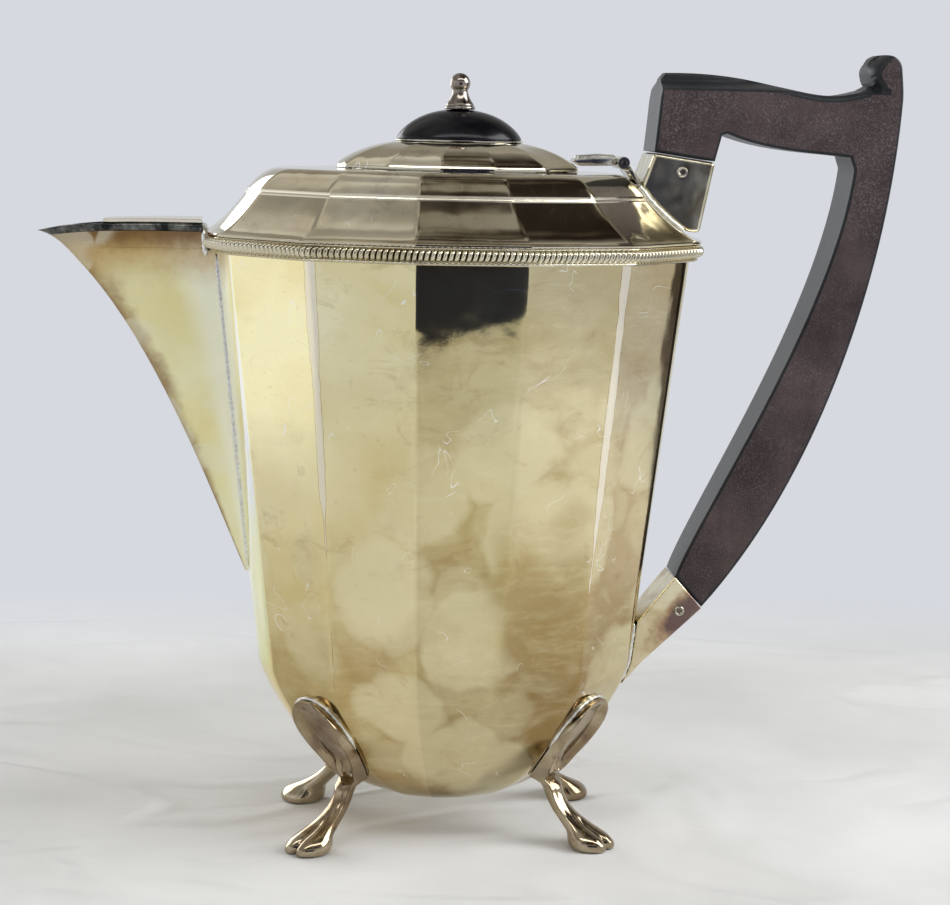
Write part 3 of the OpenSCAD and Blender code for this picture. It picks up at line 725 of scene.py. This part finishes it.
FLANK = [0, 0.08, 0.16, 0.25, 0.34, 0.43, 0.52, 0.6, 0.68, 0.75, 0.81, 0.865, 0.91, 0.945, 0.97, 0.985,
         0.994, 1.0]
spout_z = [76, 77, 78.5, 80.5, 83, 86, 90, 94, 98, 103, 108, 113, 118, 123, 128, 133, 138, 143, 148, 153,
           157, 160, 162.5, 164.5, 166, CLEAR_Z - 0.1, CLEAR_Z, 168.2, 169.2, 169.9, 170.28, 170.32, 170.45,
           170.65, 170.9, 171.2, 171.5, 171.75, 171.95, 172.08, SPOUT_TIP_Z]
outer = [spout_section(z, keel_x(z), joint_half_y(z),
                       lip=0.85 * sqrt(max(0.0, 1 - ((z - 171.2) / 0.92) ** 2))) for z in spout_z]
inner = [spout_section(z, keel_x(z) + 2.5 if z < 171 else keel_x(z) + 2.2,
                       max(joint_half_y(z) - 0.9, 0.3)) for z in spout_z]
cols = len(outer[0])
rows_count = len(spout_z)
points = [p for ring in outer + inner for p in ring]
faces = grid_faces(rows_count, cols, closed=False)
faces += [tuple(reversed(f)) for f in grid_faces(rows_count, cols, closed=False, start=rows_count * cols)]
last = (rows_count - 1) * cols
shift = rows_count * cols
for j in range(cols - 1):
    faces.append((last + j, last + j + 1, shift + last + j + 1, shift + last + j))
    faces.append((j + 1, j, shift + j, shift + j + 1))
for i in range(rows_count - 1):
    a, b = i * cols, (i + 1) * cols
    faces.append((a, b, shift + b, shift + a))
    faces.append((b + cols - 1, a + cols - 1, shift + a + cols - 1, shift + b + cols - 1))
keel_attr = (FLANK + FLANK[-2::-1]) * (2 * rows_count)
lip_attr = [float(SPOUT_TIP_Z - z) for z in spout_z for _ in range(cols)] * 2
spout = new_object("spout_shell", points, faces, {"keel": keel_attr, "lip": lip_attr})


def stain_spout():
    """Orange-brown tarnish along the keel and under the lip, and the lip painted dark with pale spots, a
    painted reflection with glints.
    """
    s = Shader("spout_skin")
    broad = s.noise(34, 3.0, 0.5, warp=0.5)
    s.colour = s.ramp(broad, [(0.3, (236, 224, 160)), (0.62, (246, 242, 200))])
    near = s.step(s.attribute("keel"), 0.42, 0.1)
    s.paint(s.times(near, 0.75), (250, 250, 226))
    ragged = s.sway(0.5, 9, 5.0, 0.65)
    keel = s.step(s.plus(s.attribute("keel"), ragged), 0.72, 1.02)
    s.paint(s.times(keel, 0.72, clamp=True), (126, 76, 44))
    under = s.step(s.plus(s.attribute("lip"), s.times(ragged, 22.0)), 17.0, 3.0)
    s.paint(s.times(under, 0.7, clamp=True), (184, 140, 72))
    under = s.step(s.plus(s.attribute("lip"), s.times(ragged, 10.0)), 7.0, 2.0)
    s.paint(s.times(under, 0.8, clamp=True), (104, 68, 42))
    patch, _ = s.lobes(15, 0.03, (1.5, 0.2, 0.6), 3.0)
    gate = s.step(s.noise(30, 2.0, 0.5, offset=(1, 6, 3)), 0.5, 0.58)
    s.paint(s.times(s.times(patch, gate), 0.4), (244, 240, 214))
    # Painted reflection: the polished lip is painted near black with pale spots, standing in for the dark
    # surroundings and glints that it reflects.
    lip = s.step(s.attribute("lip"), 1.96, 1.86)
    painted_lip_reflection = s.ramp(s.noise(5, 4.0, 0.7, offset=(2, 2, 6)), [(0.42, (38, 40, 40)), (0.7, (132, 132, 126))])
    s.paint(lip, painted_lip_reflection)
    roughness = s.plus(s.times(s.noise(12, 4.0, 0.6), 0.16), 0.12)
    normal = s.bump(s.noise(18, 2.0, 0.5), 0.3, 0.8)
    normal = s.bump(s.noise(3.0, 6.0, 0.7), 0.06, 0.08, normal)
    return s.done(Base_Color=s.colour, Metallic=1.0, Roughness=roughness, Normal=normal)


finish_piece(spout, "pot", stain_spout(), ["spout"], sharp=50)

# Plate that closes the rear half of the spout's top.
COVER_START_X, COVER_THICK = -98, 1.1
stations = np.linspace(COVER_START_X, CLEAR_X, 14)
rings = []
for i, x in enumerate(stations):
    half = SPOUT_HALF * ((x - SPOUT_TIP_X) / (CLEAR_X - SPOUT_TIP_X)) ** FLANK_POWER
    low = lip_z(x) + 0.1
    edge = 0.2 if 0 < i else 0.35
    right = [(half - edge, low), (half, low + edge), (half, low + COVER_THICK - edge),
             (half - edge, low + COVER_THICK)]
    left = [(-y, z) for y, z in reversed(right)]
    rings.append([(x, y, z) for y, z in left[-1:] + right + left[:-1]])
cover = loft("spout_cover_plate", rings)
finish_piece(cover, "pot", SHOULDER_SILVER, ["spout_cover"], sharp=40)


def bead(name, path, radius, seed, jitter):
    """A thin irregular bead of solder along a path of points in mm."""
    random = np.random.default_rng(seed)
    path = np.array(path, float)
    tangents = np.gradient(path, axis=0)
    rings = []
    for i, (p, t) in enumerate(zip(path, tangents)):
        t = t / np.linalg.norm(t)
        side = np.cross(t, (0.3, 0.2, 0.93))
        side /= np.linalg.norm(side)
        up = np.cross(side, t)
        ends = min(1.0, (min(i, len(path) - 1 - i) + 0.4) / 3)
        r = radius * ends * (1 + jitter * (random.random() - 0.5) * 2)
        rings.append([p + r * (u * side + v * up) for u, v in circle(8)])
    return finish_piece(loft(name, rings), "pot", SOLDER, sharp=80)


for side, label in ((-1, "left"), (1, "right")):
    path = []
    for z in np.linspace(77, CLEAR_Z - 0.6, 60):
        half = joint_half_y(z)
        path.append((-spout_side(z, half) - 0.15, side * (half + 0.05), z))
    bead(f"spout_solder_{label}", path, 0.5, seed=3 + side, jitter=0.12)
    top = [(-69.9 - 0.55 * u, side * mix(9.6, 8.9, u), mix(CLEAR_Z - 0.8, 174.0, u))
           for u in np.linspace(0, 1, 14)]
    bead(f"spout_top_solder_{label}", top, 0.95, seed=8 + side, jitter=0.12)
across_top = [(-70.5, y, 173.7 + 0.3 * (1 - (y / 9) ** 2)) for y in np.linspace(-8.8, 8.8, 26)]
bead("spout_rim_solder", across_top, 0.8, seed=14, jitter=0.2)

# ---- lid
DOME_BASE = 192.1


def dome_z(part):
    return DOME_BASE + 7.6 * (1 - min(1.0, part / LID_PART) ** 3.2) ** 0.87


lid_plan, lid_gaps, lid_panels = plan_ring(1.6, 5, 7)
profile = [(0.46, 191.4), (LID_PART - 0.003, 191.4), (LID_PART, 191.5), (LID_PART, 191.95),
           (LID_PART - 0.002, 192.08)]
profile += [(p, dome_z(p)) for p in (0.503, 0.498, 0.49, 0.48, 0.47, 0.455, 0.44, 0.42, 0.40, 0.38, 0.36,
                                     0.34, 0.32, 0.30, 0.28, 0.26)]
top_z = dome_z(0.26)
profile += [(0.20, top_z), (0.1, top_z), (0.03, top_z), (0.03, top_z - SHEET), (0.26, top_z - SHEET)]
profile += [(p - 0.009, dome_z(p) - SHEET) for p in (0.29, 0.32, 0.36, 0.40, 0.44, 0.47)]
rings = [slice_ring(lid_plan, part, z, 0, LID_X) for part, z in profile]
lid = loft("lid_dome", rings, looped=True,
           attributes={"fold": [g + 5 for g in lid_gaps] * len(rings), "panel": lid_panels * len(rings)})
finish_piece(lid, "lid_assembly", SHOULDER_SILVER, ["lid"], sharp=30)

# ---- finial
OVAL = BODY_Y / BODY_X
DISC_X, DISC_H = 17.6, 8.1
plate_z = top_z + 0.05
DISC_Z = plate_z + 0.55


def oval_loft(name, profile):
    return loft(name, [[(LID_X + r * u, r * OVAL * v, z) for u, v in circle(96)] for r, z in profile])


plate = oval_loft("finial_plate_rim",
                  [(1.7, plate_z), (17.9, plate_z), (18.08, plate_z + 0.1), (18.1, plate_z + 0.3),
                   (17.95, plate_z + 0.46), (17.7, plate_z + 0.5), (1.7, plate_z + 0.5)])
finish_piece(plate, "lid_assembly", HINGE_SILVER, ["finial_plate"])
disc_profile = [(0.3, DISC_Z), (17.2, DISC_Z), (17.5, DISC_Z + 0.06), (17.6, DISC_Z + 0.25)]
disc_profile += [(DISC_X * cos(radians(a)),
                  DISC_Z + 0.3 + DISC_H * (1 - cos(radians(a)) ** 2.3) ** 0.76)
                 for a in (4, 8, 12, 17, 22, 28, 34, 40, 46, 52, 58, 64, 70, 76, 82, 87)]
disc = oval_loft("finial_disc_black", disc_profile)
finish_piece(disc, "lid_assembly", DISC_BLACK, ["finial_disc"])
knob_z = DISC_Z + DISC_H + 0.25
BALL_R, KNOB_TOP_Z = 2.85, 218
ball_z = KNOB_TOP_Z - BALL_R
knob_line = [(0.5, 0), (4.15, 0), (4.3, 0.12), (4.34, 0.45), (4.3, 0.8), (4.1, 0.95), (3.96, 1.05),
             (3.98, 1.4), (3.85, 1.65), (3.5, 2.1), (3.1, 2.7), (2.75, 3.4), (2.45, 4.1), (2.28, 4.7),
             (2.22, 5.1), (2.24, 5.3)]
profile = [(r, knob_z + h) for r, h in knob_line]
profile += [(BALL_R * cos(radians(a)), ball_z + BALL_R * sin(radians(a))) for a in range(-36, 90, 7)]
knob = lathe("finial_knob_turned", profile, (LID_X, 0, 0))
finish_piece(knob, "lid_assembly", KNOB_SILVER, ["finial_knob"], sharp=50)

# ---- hinge
HINGE_X, HINGE_Z, KNUCKLE_R, PIN_R = 46.7, 194.0, 1.75, 0.7
MIDDLE = 3.36


def knuckle(name, y0, y1):
    edge = 0.18
    profile = [(PIN_R + 0.04, y0), (KNUCKLE_R - edge, y0), (KNUCKLE_R, y0 + edge), (KNUCKLE_R, y1 - edge),
               (KNUCKLE_R - edge, y1), (PIN_R + 0.04, y1)]
    return lathe(name, profile, (HINGE_X, 0, HINGE_Z), 40, "y", looped=True)


leaf_outline = [(32.8, 194.2), (34.9, 192.9), (42.7, 193.1), (45.3, 193.3), (45.3, 195.4), (44.1, 195.8),
                (40.5, 195.8), (34.2, 195.2), (33.2, 194.9)]
leaf = slab("hinge_lid_leaf_plate", leaf_outline, MIDDLE, 0.2, 3)
rails = [slab("rail",
              [(34.0, 194.6), (45.2, 195.2), (45.0, 195.75), (44.1, 196.3), (40.4, 196.3), (34.2, 195.75)],
              0.45, 0.15, 2, y) for y in (-2.75, 2.75)]
leaf = join(leaf, rails + [knuckle("knuckle", -MIDDLE, MIDDLE)])
finish_piece(leaf, "lid_assembly", HINGE_SILVER, ["hinge_lid_leaf"], sharp=30)
back = slab("hinge_body_leaf_plate",
            [(HINGE_X + 1.2, 191.9), (HINGE_X + 2.0, 193.2), (51.4, 189.4), (50.8, 188.0)], 7, 0.2, 3)
back = join(back, [knuckle("knuckle", s0, s1) for s0, s1 in ((-7, -MIDDLE - 0.15), (MIDDLE + 0.15, 7))])
finish_piece(back, "pot", HINGE_SILVER, ["hinge_body_leaf"], sharp=30)
profile = [(0.05, -7.2), (PIN_R - 0.15, -7.2), (PIN_R, -7.05), (PIN_R, 7.05), (PIN_R - 0.15, 7.2),
           (0.05, 7.2)]
pin = lathe("hinge_pin_rod", profile, (HINGE_X, 0, HINGE_Z), 32, axis="y")
finish_piece(pin, "pot", KNOB_SILVER, ["hinge_pin"])

# ---- handle
ARM_TOP = [(58.6, 219.4), (93.4, 220.5), (97.7, 209.1), (118, 216.6)]
ARM_UNDER = [(75.6, 202.8), (88.3, 197.6), (105.1, 197.8), (111.4, 196.9)]
GRIP_OUTER = [(73.85, 66.25), (108, 106.2), (124, 166.8), (126.0, 213.4)]
GRIP_INNER = [(65.75, 75.45), (71.9, 94), (108.5, 151.8), (112.6, 193.5)]
ARM_THICK, GRIP_THICK = 18.0, 14.0
ROLL_R = 4.4
ROLL_X, ROLL_Z = 120.9, 221.42
# The roll's side curls inwards to the left of a line that bends round this point.
CURL_X = 119.2
ARM_END = [(57.2, 217.6), (56.2, 212), (55.6, 204.8), (54.9, 197.4), (72.4, 195), (74.2, 202.3)]
outline = [tuple(p) for p in curve(GRIP_OUTER, 36)] + [(125.95, 215.4), (125.8, 217.2), (125.62, 219.0),
                                                       (125.42, 220.7)]
outline += [(ROLL_X + ROLL_R * cos(radians(a)), ROLL_Z + ROLL_R * sin(radians(a)))
            for a in range(6, 218, 7)] + [(117.9, 217.7)]
outline += [tuple(p) for p in reversed(curve(ARM_TOP, 24)[:-1])]
outline += ARM_END + [tuple(p) for p in curve(ARM_UNDER, 12)]
outline += [tuple(p) for p in reversed(curve(GRIP_INNER, 32))]


def thick_at(z):
    return mix(GRIP_THICK, ARM_THICK, min(1.0, max(0.0, (z - 66) / 110)))


handle = slab("handle_wood", outline, ARM_THICK / 2, 0)
bm = bmesh.new()
bm.from_mesh(handle.data)


def square_rims(low_x, high_x, low_z):
    """Edges of the two flat sides that are still square, within a range."""
    found = []
    for e in bm.edges:
        a, b = (v.co for v in e.verts)
        flat_side = abs(a.y - b.y) < 1e-7 and e.calc_face_angle(0) > radians(60)
        x, z = (a.x + b.x) / 2 / MM - AXIS_X, (a.z + b.z) / 2 / MM
        if flat_side and low_x < x < high_x and z > low_z(x):
            found.append(e)
    return found


for limits, width in (((58.8, 117.6, lambda x: 206), 1.9), ((0, 200, lambda x: 0), 0.8)):
    bmesh.ops.bevel(bm, geom=square_rims(*limits), offset=width * MM, segments=5, profile=0.5,
                    affect="EDGES", clamp_overlap=False)
cuts = [((0, 0, z * MM), (0, 0, 1)) for z in [66, 176] + list(np.arange(214.6, 226, 0.6))]
cuts += [(((AXIS_X + x) * MM, 0, 0), (1, 0, 0)) for x in np.arange(CURL_X - 3.2, CURL_X + 3.3, 0.4)]
for plane_co, plane_no in cuts:
    bmesh.ops.bisect_plane(bm, geom=bm.verts[:] + bm.edges[:] + bm.faces[:],
                           plane_co=plane_co, plane_no=plane_no, dist=1e-7)
for v in bm.verts:
    height = v.co.z / MM
    from_roll = CURL_X + 0.15 * (height - 220.3) ** 2 - (v.co.x / MM - AXIS_X)
    curl = sqrt(max(0.1, 1 - (max(0.0, from_roll) / 3.55) ** 2))
    v.co.y *= mix(1.0, curl, smooth(214.6, 217.4, height)) * thick_at(height) / ARM_THICK
bmesh.ops.recalc_face_normals(bm, faces=bm.faces)
for f in bm.faces:
    f.material_index = 0 if abs(f.normal.y) > 0.9995 else 1
bm.to_mesh(handle.data)
bm.free()
finish_piece(handle, "pot", [WOOD_SIDE, WOOD_EDGE], ["handle_grip"], sharp=35)
weigh_normals(handle)

# ---- sockets and pins
PIN_UP, PIN_DOWN = (62.9, 191.9), (67.1, 65.3)
foot_line = []
for part, z in [hollow_point(u, BREAK_PART, BREAK_Z) for u in np.linspace(0.2, 1, 12)] + \
        [round_point(u, BREAK_PART, BREAK_Z, 1.75) for u in (0.1, 0.2, 0.3)]:
    if 174.4 < z < 187.6:
        foot_line.append((part * BODY_X + lean(part) + 0.3, z + 0.3))
upper_outline = [(72.4, 194.7), (68.6, 175.0)] + foot_line + [(54.9, 197.1)]
upper = slab("upper_socket_sleeve", upper_outline, ARM_THICK / 2 + 0.7, 1.1, 5)
finish_piece(upper, "pot", SOCKET_SILVER, ["upper_socket"], sharp=35)
weigh_normals(upper)
side_line = [(BODY_X * width_at(z) + 0.3, z) for z in np.linspace(43.4, 61.9, 9)]
lower_outline = side_line + [(65.6, 75.3), (73.7, 66.1), (64.6, 57.6), (56.4, 50)]
lower = slab("lower_socket_sleeve", lower_outline, GRIP_THICK / 2 + 0.6, 0.9, 5)
finish_piece(lower, "pot", LOWER_SOCKET_SILVER, ["lower_socket"], sharp=35)
weigh_normals(lower)


for side, label in ((-1, "left"), (1, "right")):
    reach = ARM_THICK / 2 + 0.45
    path = [(x - 0.5, side * reach, z) for x, z in foot_line[::-1]]
    path = path[:1] + path
    fine_path = [mix(np.array(a), np.array(b), u) for a,
                 b in zip(path[:-1], path[1:]) for u in (0, 0.33, 0.67)]
    bead(f"upper_socket_solder_{label}", fine_path, 0.6, seed=21 + side, jitter=0.2)
    reach = GRIP_THICK / 2 + 0.35
    path = []
    for z in np.linspace(43.9, 61.6, 34):
        u = reach / (FOLD_3[1] * BODY_Y * width_at(z))
        path.append((BODY_X * width_at(z) * (HANDLE_END - (HANDLE_END - FOLD_3[0]) * u * u) + 0.15,
                     side * reach, z))
    bead(f"lower_socket_solder_{label}", path, 0.62, seed=31 + side, jitter=0.2)


def pin_piece(node, label, place_at, half):
    head = [(0.15, -0.75), (0.55, -0.62), (0.8, -0.2), (0.95, -0.03), (1.2, 0.0), (1.42, -0.12), (1.5, -0.35)]
    profile = [(r, -half - h) for r, h in head] + [(1.5, 0.0)] + [(r, half + h) for r, h in reversed(head)]
    obj = lathe(label, profile, (place_at[0], 0, place_at[1]), 32, axis="y")
    return finish_piece(obj, "pot", HINGE_SILVER, [node], sharp=60)


pin_piece("upper_handle_pin", "upper_pin", PIN_UP, ARM_THICK / 2 + 1.2)
pin_piece("lower_handle_pin", "lower_pin", PIN_DOWN, GRIP_THICK / 2 + 1.1)

# ---- feet
f3, f2 = FOLDS[:2]
across = f2 - f3
PANEL_DIR = np.array((across[1], -across[0])) / np.linalg.norm(across)
SIDE_DIR = np.array((-PANEL_DIR[1], PANEL_DIR[0]))
PANEL_REACH = float(f2 @ PANEL_DIR)
PANEL_MID = float((f2 + f3) @ SIDE_DIR / 2)
# height, reach of the middle, half depth, half width
LEG = [(0.0, 45.9, 5.0, 5.6), (0.35, 45.9, 5.9, 6.4), (0.8, 45.9, 6.2, 6.6), (1.5, 45.8, 6.35, 6.75),
       (2.2, 45.7, 6.3, 6.7), (3.0, 45.3, 6.0, 6.4), (3.8, 44.9, 5.6, 6.0), (4.5, 44.2, 5.1, 5.5),
       (5.2, 43.3, 4.6, 5.0), (6.0, 42.0, 4.2, 4.6), (7.0, 40.6, 3.7, 4.1), (8.2, 39.1, 3.4, 3.7),
       (9.5, 37.6, 3.1, 3.4), (11.0, 36.2, 2.85, 3.15), (12.5, 35.0, 2.7, 3.0), (14.0, 34.1, 2.7, 2.95),
       (15.5, 33.4, 2.8, 3.0), (17.0, 32.8, 2.95, 3.2)]
# height, thickness, half width
LEAF = [(18.6, 4.6, 3.7), (19.6, 4.5, 4.3), (20.8, 4.3, 5.1), (22.2, 3.9, 6.0), (24.0, 3.4, 6.9),
        (26.0, 3.2, 7.7), (28.0, 3.1, 8.4), (30.5, 3.0, 8.9), (33.0, 2.9, 9.2), (35.5, 2.8, 9.0),
        (37.6, 2.6, 8.4), (39.3, 2.4, 7.6), (40.7, 2.1, 6.5), (41.8, 1.9, 5.3), (42.6, 1.7, 4.1),
        (43.2, 1.4, 2.9), (43.5, 1.1, 2.0)]
FOOT_STEPS = 72


def side_at(z):
    straight = mix(-10.6, PANEL_MID * width_at(max(z, 18)), min(1.0, z / 18))
    return straight - 1.5 * exp(-(((z - 17.5) / 5.0) ** 2))


def foot_points():
    rings = []
    for z, reach, depth, half in LEG:
        ring = []
        for j in range(FOOT_STEPS):
            a = tau * j / FOOT_STEPS
            s = half * sin(a)
            out = reach + depth * cos(a)
            low = 1 - smooth(5.5, 9.5, z)
            if cos(a) > 0:
                cleft = exp(-((s / 0.75) ** 2)) * smooth(0.0, 0.7, cos(a))
                out -= 1.5 * low * cleft
                out += 0.5 * low * exp(-(((abs(s) - 3.2) / 1.6) ** 2))
            ridge = exp(-((((a - 1.15) / 0.28)) ** 2)) * smooth(5, 10, z)
            out += 0.55 * ridge
            s += 0.35 * ridge
            ring.append((out, side_at(z) + s, z))
        rings.append(ring)
    for z, thick, half in LEAF:
        reach = PANEL_REACH * width_at(z) + 0.3
        ring = []
        for j in range(FOOT_STEPS):
            a = tau * j / FOOT_STEPS
            s = half * sin(a)
            c = cos(a)
            if c > 0:
                wall = min(1.0, c / 0.36) ** 0.5
                bowl = 1 - smooth(0.52, 0.9, abs(s / half)) ** 1.4
                hollow = 0.72 * thick * bowl * smooth(20.6, 25, z) * (1 - smooth(39.5, 42.8, z))
                away = hypot((z - 22.6) / 2.1, (s + 0.6) / 1.35)
                boss = 0.8 * exp(-(((away - 1.0) / 0.42) ** 2)) - 0.5 * exp(-((away / 0.7) ** 2))
                rim = 0.7 * smooth(0.35, 0.95, s / half) * wall
                out = reach + thick * wall - hollow + boss + rim
            else:
                out = reach
            ring.append((out, side_at(z) + s, z))
        rings.append(ring)
    return rings


def place_foot(ring, flip_x, flip_y):
    placed = []
    for out, side, z in ring:
        p = out * PANEL_DIR + side * SIDE_DIR
        placed.append((-p[0] if flip_x else p[0], -p[1] if flip_y else p[1], z))
    return placed


for end, flip_x in (("front", True), ("rear", False)):
    for hand, flip_y in (("left", True), ("right", False)):
        node = f"foot_{end}_{hand}"
        foot = loft(node + "_cast", [place_foot(r, flip_x, flip_y) for r in foot_points()])
        finish_piece(foot, "pot", FOOT_TARNISH_AND_SHADE, [node], sharp=70)
        path = []
        for a in np.linspace(-1.9, 1.9, 50):
            z = 33 + 11.0 * cos(a) if abs(a) < pi / 2 else 33 + 9.0 * cos(a)
            half = np.interp(z, [r[0] for r in LEAF], [r[2] for r in LEAF])
            s = 9.5 * sin(a)
            s = copysign(min(abs(s), half + 0.5), s) if z < 43.4 else s
            out = PANEL_REACH * width_at(z) + 0.25
            path.append((out, side_at(z) + s, z))
        bead(node + "_solder", place_foot(path, flip_x, flip_y), 0.55, seed=11, jitter=0.4)

# ---- CAD nodes that stay as they are
for name, material in (("lid_bezel", SHOULDER_SILVER), ("finial_stud", KNOB_SILVER),
                       ("finial_nut", HINGE_SILVER)):
    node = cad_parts[name]
    node.data.materials.clear()
    node.data.materials.append(material)

# ---- floor
def floor_material():
    s = Shader("floor_cloth")
    x, y = s.axis("X"), s.axis("Y")
    behind = s.times(s.math("MAXIMUM", y, 0.0), 2.2)
    depth = s.plus(behind, s.math("MINIMUM", y, 0.0))
    distance = s.math("SQRT", s.plus(s.times(x, x), s.times(depth, depth)))
    far = s.step(s.plus(distance, s.times(s.noise(160, 2.0), 0.08)), 0.42, 0.78)
    cloth = s.ramp(s.noise(90, 3.0, 0.5), [(0.3, (218, 219, 218)), (0.7, (236, 236, 236))])
    ridge = s.math("ABSOLUTE", s.minus(s.noise(150, 2.0, 0.5, (1, 1.5, 1), (3, 1, 7), 1.0), 0.5))
    normal = s.bump(s.step(ridge, 0.06, 0.0), 0.35, 3.0)
    normal = s.bump(s.noise(70, 3.0, 0.5), 0.6, 3.0, normal)
    normal = s.bump(s.noise(26, 4.0, 0.6, (1, 2.2, 1), warp=1.0), 0.5, 0.9, normal)
    s.done(Base_Color=cloth, Roughness=0.9, Normal=normal)
    glow = s.add("Emission", {"Color": WALL, "Strength": 1.0})
    mixed = s.add("MixShader", {0: far, 1: s.bsdf.outputs[0], 2: glow.outputs[0]})
    s.set(s.tree.nodes["Material Output"].inputs["Surface"], mixed.outputs[0])
    return s.material


WALL = linear(214, 217, 223)
floor_rings = [[(r * u, r * v, 0) for u, v in circle(96)] for r in (6000, 1500, 600, 300, 160, 80, 20)]
points = [p for ring in floor_rings for p in ring] + [(0, 0, 0)]
faces = grid_faces(len(floor_rings), 96)
centre, last = len(points) - 1, (len(floor_rings) - 1) * 96
faces += [(last + j, last + (j + 1) % 96, centre) for j in range(96)]
floor = new_object("floor", points, faces)
floor.data.materials.append(floor_material())
floor.location.z = -0.0001
floor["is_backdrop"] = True

# ---- light
world = bpy.data.worlds.new("studio")
bpy.context.scene.world = world
world.use_nodes = True
sky = Nodes(world.node_tree, "Generated")
level = sky.ramp(sky.axis("Z"), [(0.12, WALL), (0.75, (146, 143, 138))])
# Broad dark and light areas overhead, which only the mouldings reflect.
clouds = sky.add("TexNoise", {"Vector": sky.place, "Scale": 3.6, "Detail": 1.0}).outputs["Fac"]
areas = sky.ramp(clouds, [(0.41, (40, 34, 30)), (0.49, (70, 62, 54)), (0.56, (100, 94, 85)),
                          (0.64, (154, 151, 144))])
# Overhead towards the back it is paler and more even, as the lid shows.
rear = sky.step(sky.axis("Y"), 0.3, 0.62, 0.0, 0.8, "LINEAR")
overhead = sky.blend(rear, areas, (172, 168, 160))
high = sky.step(sky.axis("Z"), 0.3, 0.55, kind="LINEAR")
sky.set(world.node_tree.nodes["Background"].inputs["Color"], sky.blend(high, level, overhead))


def area_light(name, place_at, target, size, power, colour=(1, 1, 1)):
    data = bpy.data.lights.new(name, "AREA")
    data.shape = "RECTANGLE"
    data.size, data.size_y = size
    data.energy = power
    data.color = colour
    obj = linked(name, data)
    obj.location = place_at
    obj.visible_camera = False
    obj.rotation_euler = (Vector(target) - Vector(place_at)).to_track_quat("-Z", "Y").to_euler()


area_light("key_left", (-0.62, -0.12, 0.55), (-0.3, -0.08, 0), (1.3, 1.3), 1.9, (0.99, 0.995, 1.0))
area_light("fill_right", (0.8, -0.26, 0.6), (0.05, -0.1, 0.0), (0.65, 0.65), 7.6, (0.98, 0.99, 1.0))
area_light("front_strip", (0.0, -0.62, 0.95), (0, 0, 0.1), (1.2, 0.16), 2.6, (0.98, 0.99, 1.0))
area_light("back_left", (-0.55, 0.65, 0.3), (0, 0, 0.12), (0.6, 0.5), 3.0, (0.98, 0.99, 1.0))


def reflection_card(name, points, faces, material):
    """A card on the stage that only reflections see."""
    card = new_object(name, points, faces)
    card.data.materials.append(material)
    card.visible_camera = card.visible_shadow = card.visible_diffuse = False
    card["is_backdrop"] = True


def bright_material():
    """Pale to the far left and behind the pot, and clear elsewhere."""
    s = Shader("card_bright")
    left = s.step(s.axis("X"), -0.37, -0.52)
    behind = s.step(s.axis("Y"), 0.22, 0.34)
    lamp = s.add("Emission", {"Color": linear(240, 240, 237), "Strength": 1.0})
    clear = s.add("BsdfTransparent")
    both = s.add("MixShader", {0: s.math("MAXIMUM", left, behind), 1: clear.outputs[0],
                                         2: lamp.outputs[0]})
    s.set(s.tree.nodes["Material Output"].inputs["Surface"], both.outputs[0])
    return s.material


# A dark card in front of the pot, as the room beyond the table is, and an olive strip along its edge.
reflection_card("dark_card", [(-160, -550, 1), (34, -556, 1), (46, -568, 1), (60, -580, 1), (72, -590, 1),
                              (300, -596, 1), (320, -950, 1), (-220, -950, 1), (-220, -950, 330),
                              (320, -950, 330)], [(0, 1, 2, 3, 4, 5, 6, 7), (7, 6, 9, 8)],
                Shader("card_navy").done(Base_Color=linear(22, 30, 60), Roughness=0.9))
reflection_card("card_fold", [(26, -553, 2), (44, -556, 2), (62, -560, 2), (90, -564, 2), (90, -553, 2),
                              (62, -550, 2), (44, -549, 2), (26, -549, 2)], [(0, 1, 2, 3, 4, 5, 6, 7)],
                Shader("card_olive").done(Base_Color=linear(178, 174, 152), Roughness=0.9))
reflection_card("bright_card", [(-1000, -320, 3), (60, -320, 3), (60, 1000, 3), (-1000, 1000, 3)],
                [(0, 1, 2, 3)], bright_material())

# ---- camera
PHI, PITCH, ROLL = radians(6.407), radians(8.745), radians(1.289)
level_right = Vector((cos(PHI), -sin(PHI), 0))
level_ahead = Vector((sin(PHI), cos(PHI), 0))
ahead = level_ahead * cos(PITCH) - Vector((0, 0, 1)) * sin(PITCH)
up = level_right.cross(ahead)
right = level_right * cos(ROLL) + up * sin(ROLL)
up = right.cross(ahead)
LENS_MM = 82.55
camera = linked("camera", bpy.data.cameras.new("camera"))
camera.data.lens = LENS_MM
camera.data.clip_start = 0.02
camera.location = (AXIS_X * MM - 0.0620, -0.6162, 0.2058)
camera.rotation_mode = "QUATERNION"
camera.rotation_quaternion = Matrix((right, up, -ahead)).transposed().to_quaternion()
bpy.context.scene.camera = camera
bpy.context.scene.view_settings.view_transform = "Standard"

# ---- sizes
low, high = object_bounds()
